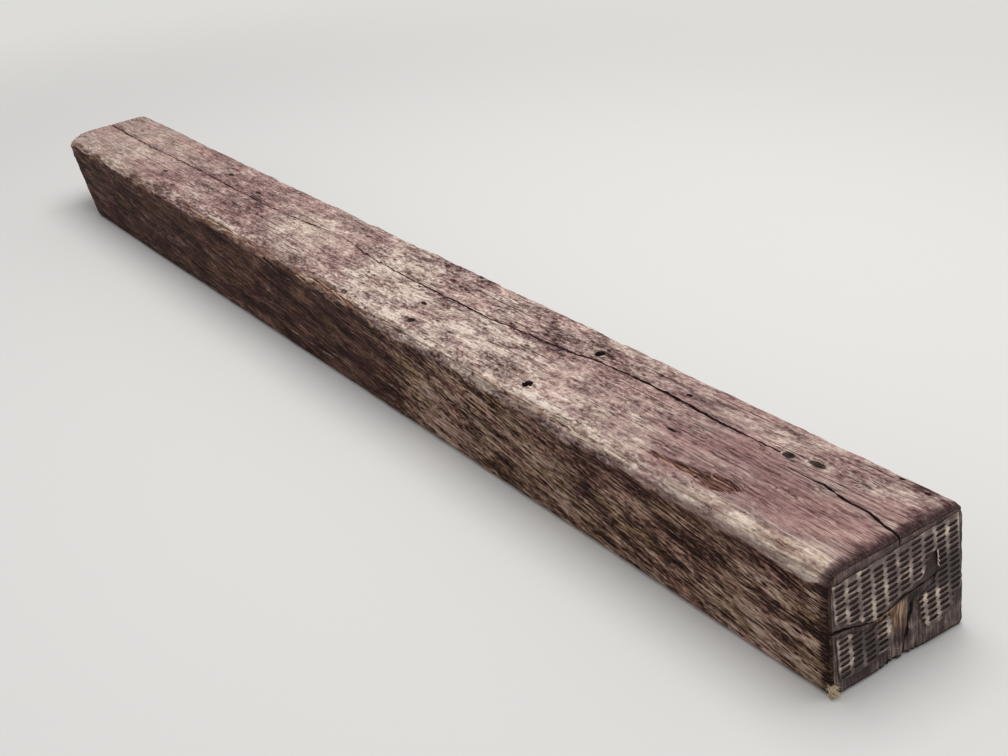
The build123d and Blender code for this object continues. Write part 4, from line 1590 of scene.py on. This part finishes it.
class SLEEPER_OT_timber(bpy.types.Operator):
    """Builds the weathered timber with its checks, split and holes"""

    bl_idname = "sleeper.timber"
    bl_label = "Timber"

    def execute(self, context):
        sizes = context.scene.sleeper
        rng = np.random.default_rng(4)
        coarse = 1
        rows, columns, levels = (n // coarse for n in (sizes.rows, sizes.columns, sizes.levels))
        materials = [
            weathered_face_material(sizes.relief, sizes.film_tint, sizes.dirt_colour),
            end_grain_material(sizes.under_plate_shade_colour),
            check_wall_material(),
        ]
        timber = piece("sleeper_timber", block_grid(rows, columns, levels), materials)
        shape_timber(timber.data, rows)
        count = 2 * len(timber.data.polygons)
        if count > sizes.budget:
            thin = timber.modifiers.new("thin", "DECIMATE")
            thin.ratio = sizes.budget / count
            apply_modifiers(timber)
        for cutters in (
            top_checks(rng),
            fine_checks(rng, sizes.hairline_checks),
            end_split(rng),
            upright_checks(rng),
            holes(rng),
        ):
            carve(timber, cutters, material_index=2)
        mesh = timber.data
        mesh.set_sharp_from_angle(angle=math.radians(55))
        timber_tones(mesh)
        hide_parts("timber")
        return {"FINISHED"}


class SLEEPER_OT_splinters(bpy.types.Operator):
    """Adds the slivers standing off the broken edges"""

    bl_idname = "sleeper.splinters"
    bl_label = "Splinters"

    def execute(self, context):
        rng = np.random.default_rng(11)
        bm = bmesh.new()
        bm.verts.layers.float.new("shade")
        out = Vector((0, -1, 0.25)).normalized()
        for middle, spread_out, count in SPLINTERED:
            for _ in range(count):
                distance = rng.normal(middle, spread_out)
                depth = rng.uniform(4, 11)
                root = Vector((along(distance), across(depth), up(rng.uniform(3, 14))))
                ahead, aside = rng.choice([-1, 1]), rng.uniform(-0.12, 0.05)
                heading = Vector((ahead, aside, rng.uniform(-0.08, 0.1)))
                add_splinter(
                    bm,
                    root,
                    heading.normalized(),
                    out,
                    rng.uniform(14, 48) * MM,
                    rng.uniform(1.6, 4.0) * MM,
                    rng.uniform(-0.10, 0.16),
                    rng.uniform(0.1, 0.8),
                )
        # Frayed bottom front corner of the plated end
        for _ in range(FRAYED_COUNT):
            distance, offset = rng.uniform(1, 9), rng.uniform(1, 10)
            root = Vector((along(distance), across(offset), up(rng.uniform(160, 176))))
            ahead, aside = rng.uniform(0.3, 1.0), rng.uniform(-0.5, 0.3)
            heading = Vector((ahead, aside, rng.uniform(-0.4, 0.2)))
            add_splinter(
                bm,
                root,
                heading.normalized(),
                Vector((0, 0, 1)),
                rng.uniform(6, 13) * MM,
                rng.uniform(1.2, 2.4) * MM,
                rng.uniform(-0.3, 0.3),
                rng.uniform(0.6, 1.3),
            )
        splinters = piece("edge_splinters", bm, [splinter_material()])
        keep_inside(splinters.data, cad_bounds)
        return {"FINISHED"}


class SLEEPER_OT_plates(bpy.types.Operator):
    """Builds the torn end plate, its curled tongue and its lower fragment"""

    bl_idname = "sleeper.plates"
    bl_label = "End plates"

    def execute(self, context):
        sheet = plate_material()
        main_plate = torn_plate("torn_end_plate", PLATE_TEAR, sheet, 5, plate_tar, 2.2)
        fragment = torn_plate("torn_plate_fragment", FRAGMENT_TEAR, sheet, 6, fragment_tar, 0.0)
        curled_tongue(sheet)
        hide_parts("end_plate")
        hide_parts("end_plate_fragment")
        return {"FINISHED"}


class SLEEPER_OT_stage(bpy.types.Operator):
    """Sets the pale floor, the soft light and the camera"""

    bl_idname = "sleeper.stage"
    bl_label = "Stage"

    def execute(self, context):
        sizes = context.scene.sleeper
        bm = bmesh.new()
        bmesh.ops.create_grid(bm, x_segments=1, y_segments=1, size=FLOOR_SIZE)
        floor = link_mesh("floor", bm, [backdrop_material(sizes.ground_colour)])

        world = bpy.data.worlds.new("soft_room")
        world.use_nodes = True
        tree = world.node_tree
        tree.nodes.clear()
        sky = add_node(tree, "ShaderNodeBackground", {"Color": srgb("#f3f5f8"), "Strength": 0.50})
        ground = add_node(
            tree, "ShaderNodeBackground", {"Color": sizes.ground_colour, "Strength": 1.0}
        )
        sky = add_node(tree, "ShaderNodeMixShader", [seen_directly(tree), sky, ground])
        add_node(tree, "ShaderNodeOutputWorld", [sky])
        context.scene.world = world

        lamp = bpy.data.lights.new("softbox", "AREA")
        lamp.shape = "RECTANGLE"
        lamp.size, lamp.size_y = SOFTBOX_SIZE
        lamp.energy = sizes.lamp_power
        softbox = bpy.data.objects.new("softbox", lamp)
        softbox.location = SOFTBOX_PLACE
        aim = Vector(SOFTBOX_AIM) - softbox.location
        softbox.rotation_euler = aim.to_track_quat("-Z", "Y").to_euler()
        context.scene.collection.objects.link(softbox)

        camera_data = bpy.data.cameras.new("camera")
        camera = bpy.data.objects.new("camera", camera_data)
        context.scene.collection.objects.link(camera)
        camera.location = CAMERA_PLACE
        look = (Vector(CAMERA_AIM) - camera.location).normalized()
        camera_data.lens = CAMERA_LENS
        side = look.cross(Vector((0, 0, 1))).normalized()
        roll = math.radians(CAMERA_ROLL)
        right = side * math.cos(roll) + side.cross(look) * math.sin(roll)
        top = right.cross(look)
        camera.rotation_euler = Matrix((right, top, -look)).transposed().to_euler()
        camera_data.clip_start = 0.05
        context.scene.camera = camera
        context.scene.view_settings.view_transform = "Standard"
        return {"FINISHED"}


class SLEEPER_PT_panel(bpy.types.Panel):
    """Sizes of the sleeper and the steps that build it"""

    bl_idname = "SLEEPER_PT_panel"
    bl_label = "Railway sleeper"
    bl_space_type = "VIEW_3D"
    bl_region_type = "UI"
    bl_category = "Sleeper"

    def draw(self, context):
        layout = self.layout
        for name in SleeperSettings.__annotations__:
            layout.prop(context.scene.sleeper, name)
        for step in STEPS:
            layout.operator(step.bl_idname)


STEPS = (SLEEPER_OT_timber, SLEEPER_OT_splinters, SLEEPER_OT_plates, SLEEPER_OT_stage)
CLASSES = (SleeperSettings, *STEPS, SLEEPER_PT_panel)


def register():
    for cls in CLASSES:
        bpy.utils.register_class(cls)
    bpy.types.Scene.sleeper = bpy.props.PointerProperty(type=SleeperSettings)


def unregister():
    del bpy.types.Scene.sleeper
    for cls in reversed(CLASSES):
        bpy.utils.unregister_class(cls)


def main():
    register()
    bpy.ops.sleeper.timber()
    bpy.ops.sleeper.splinters()
    bpy.ops.sleeper.plates()
    bpy.ops.sleeper.stage()
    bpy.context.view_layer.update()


if __name__ == "__main__":
    main()
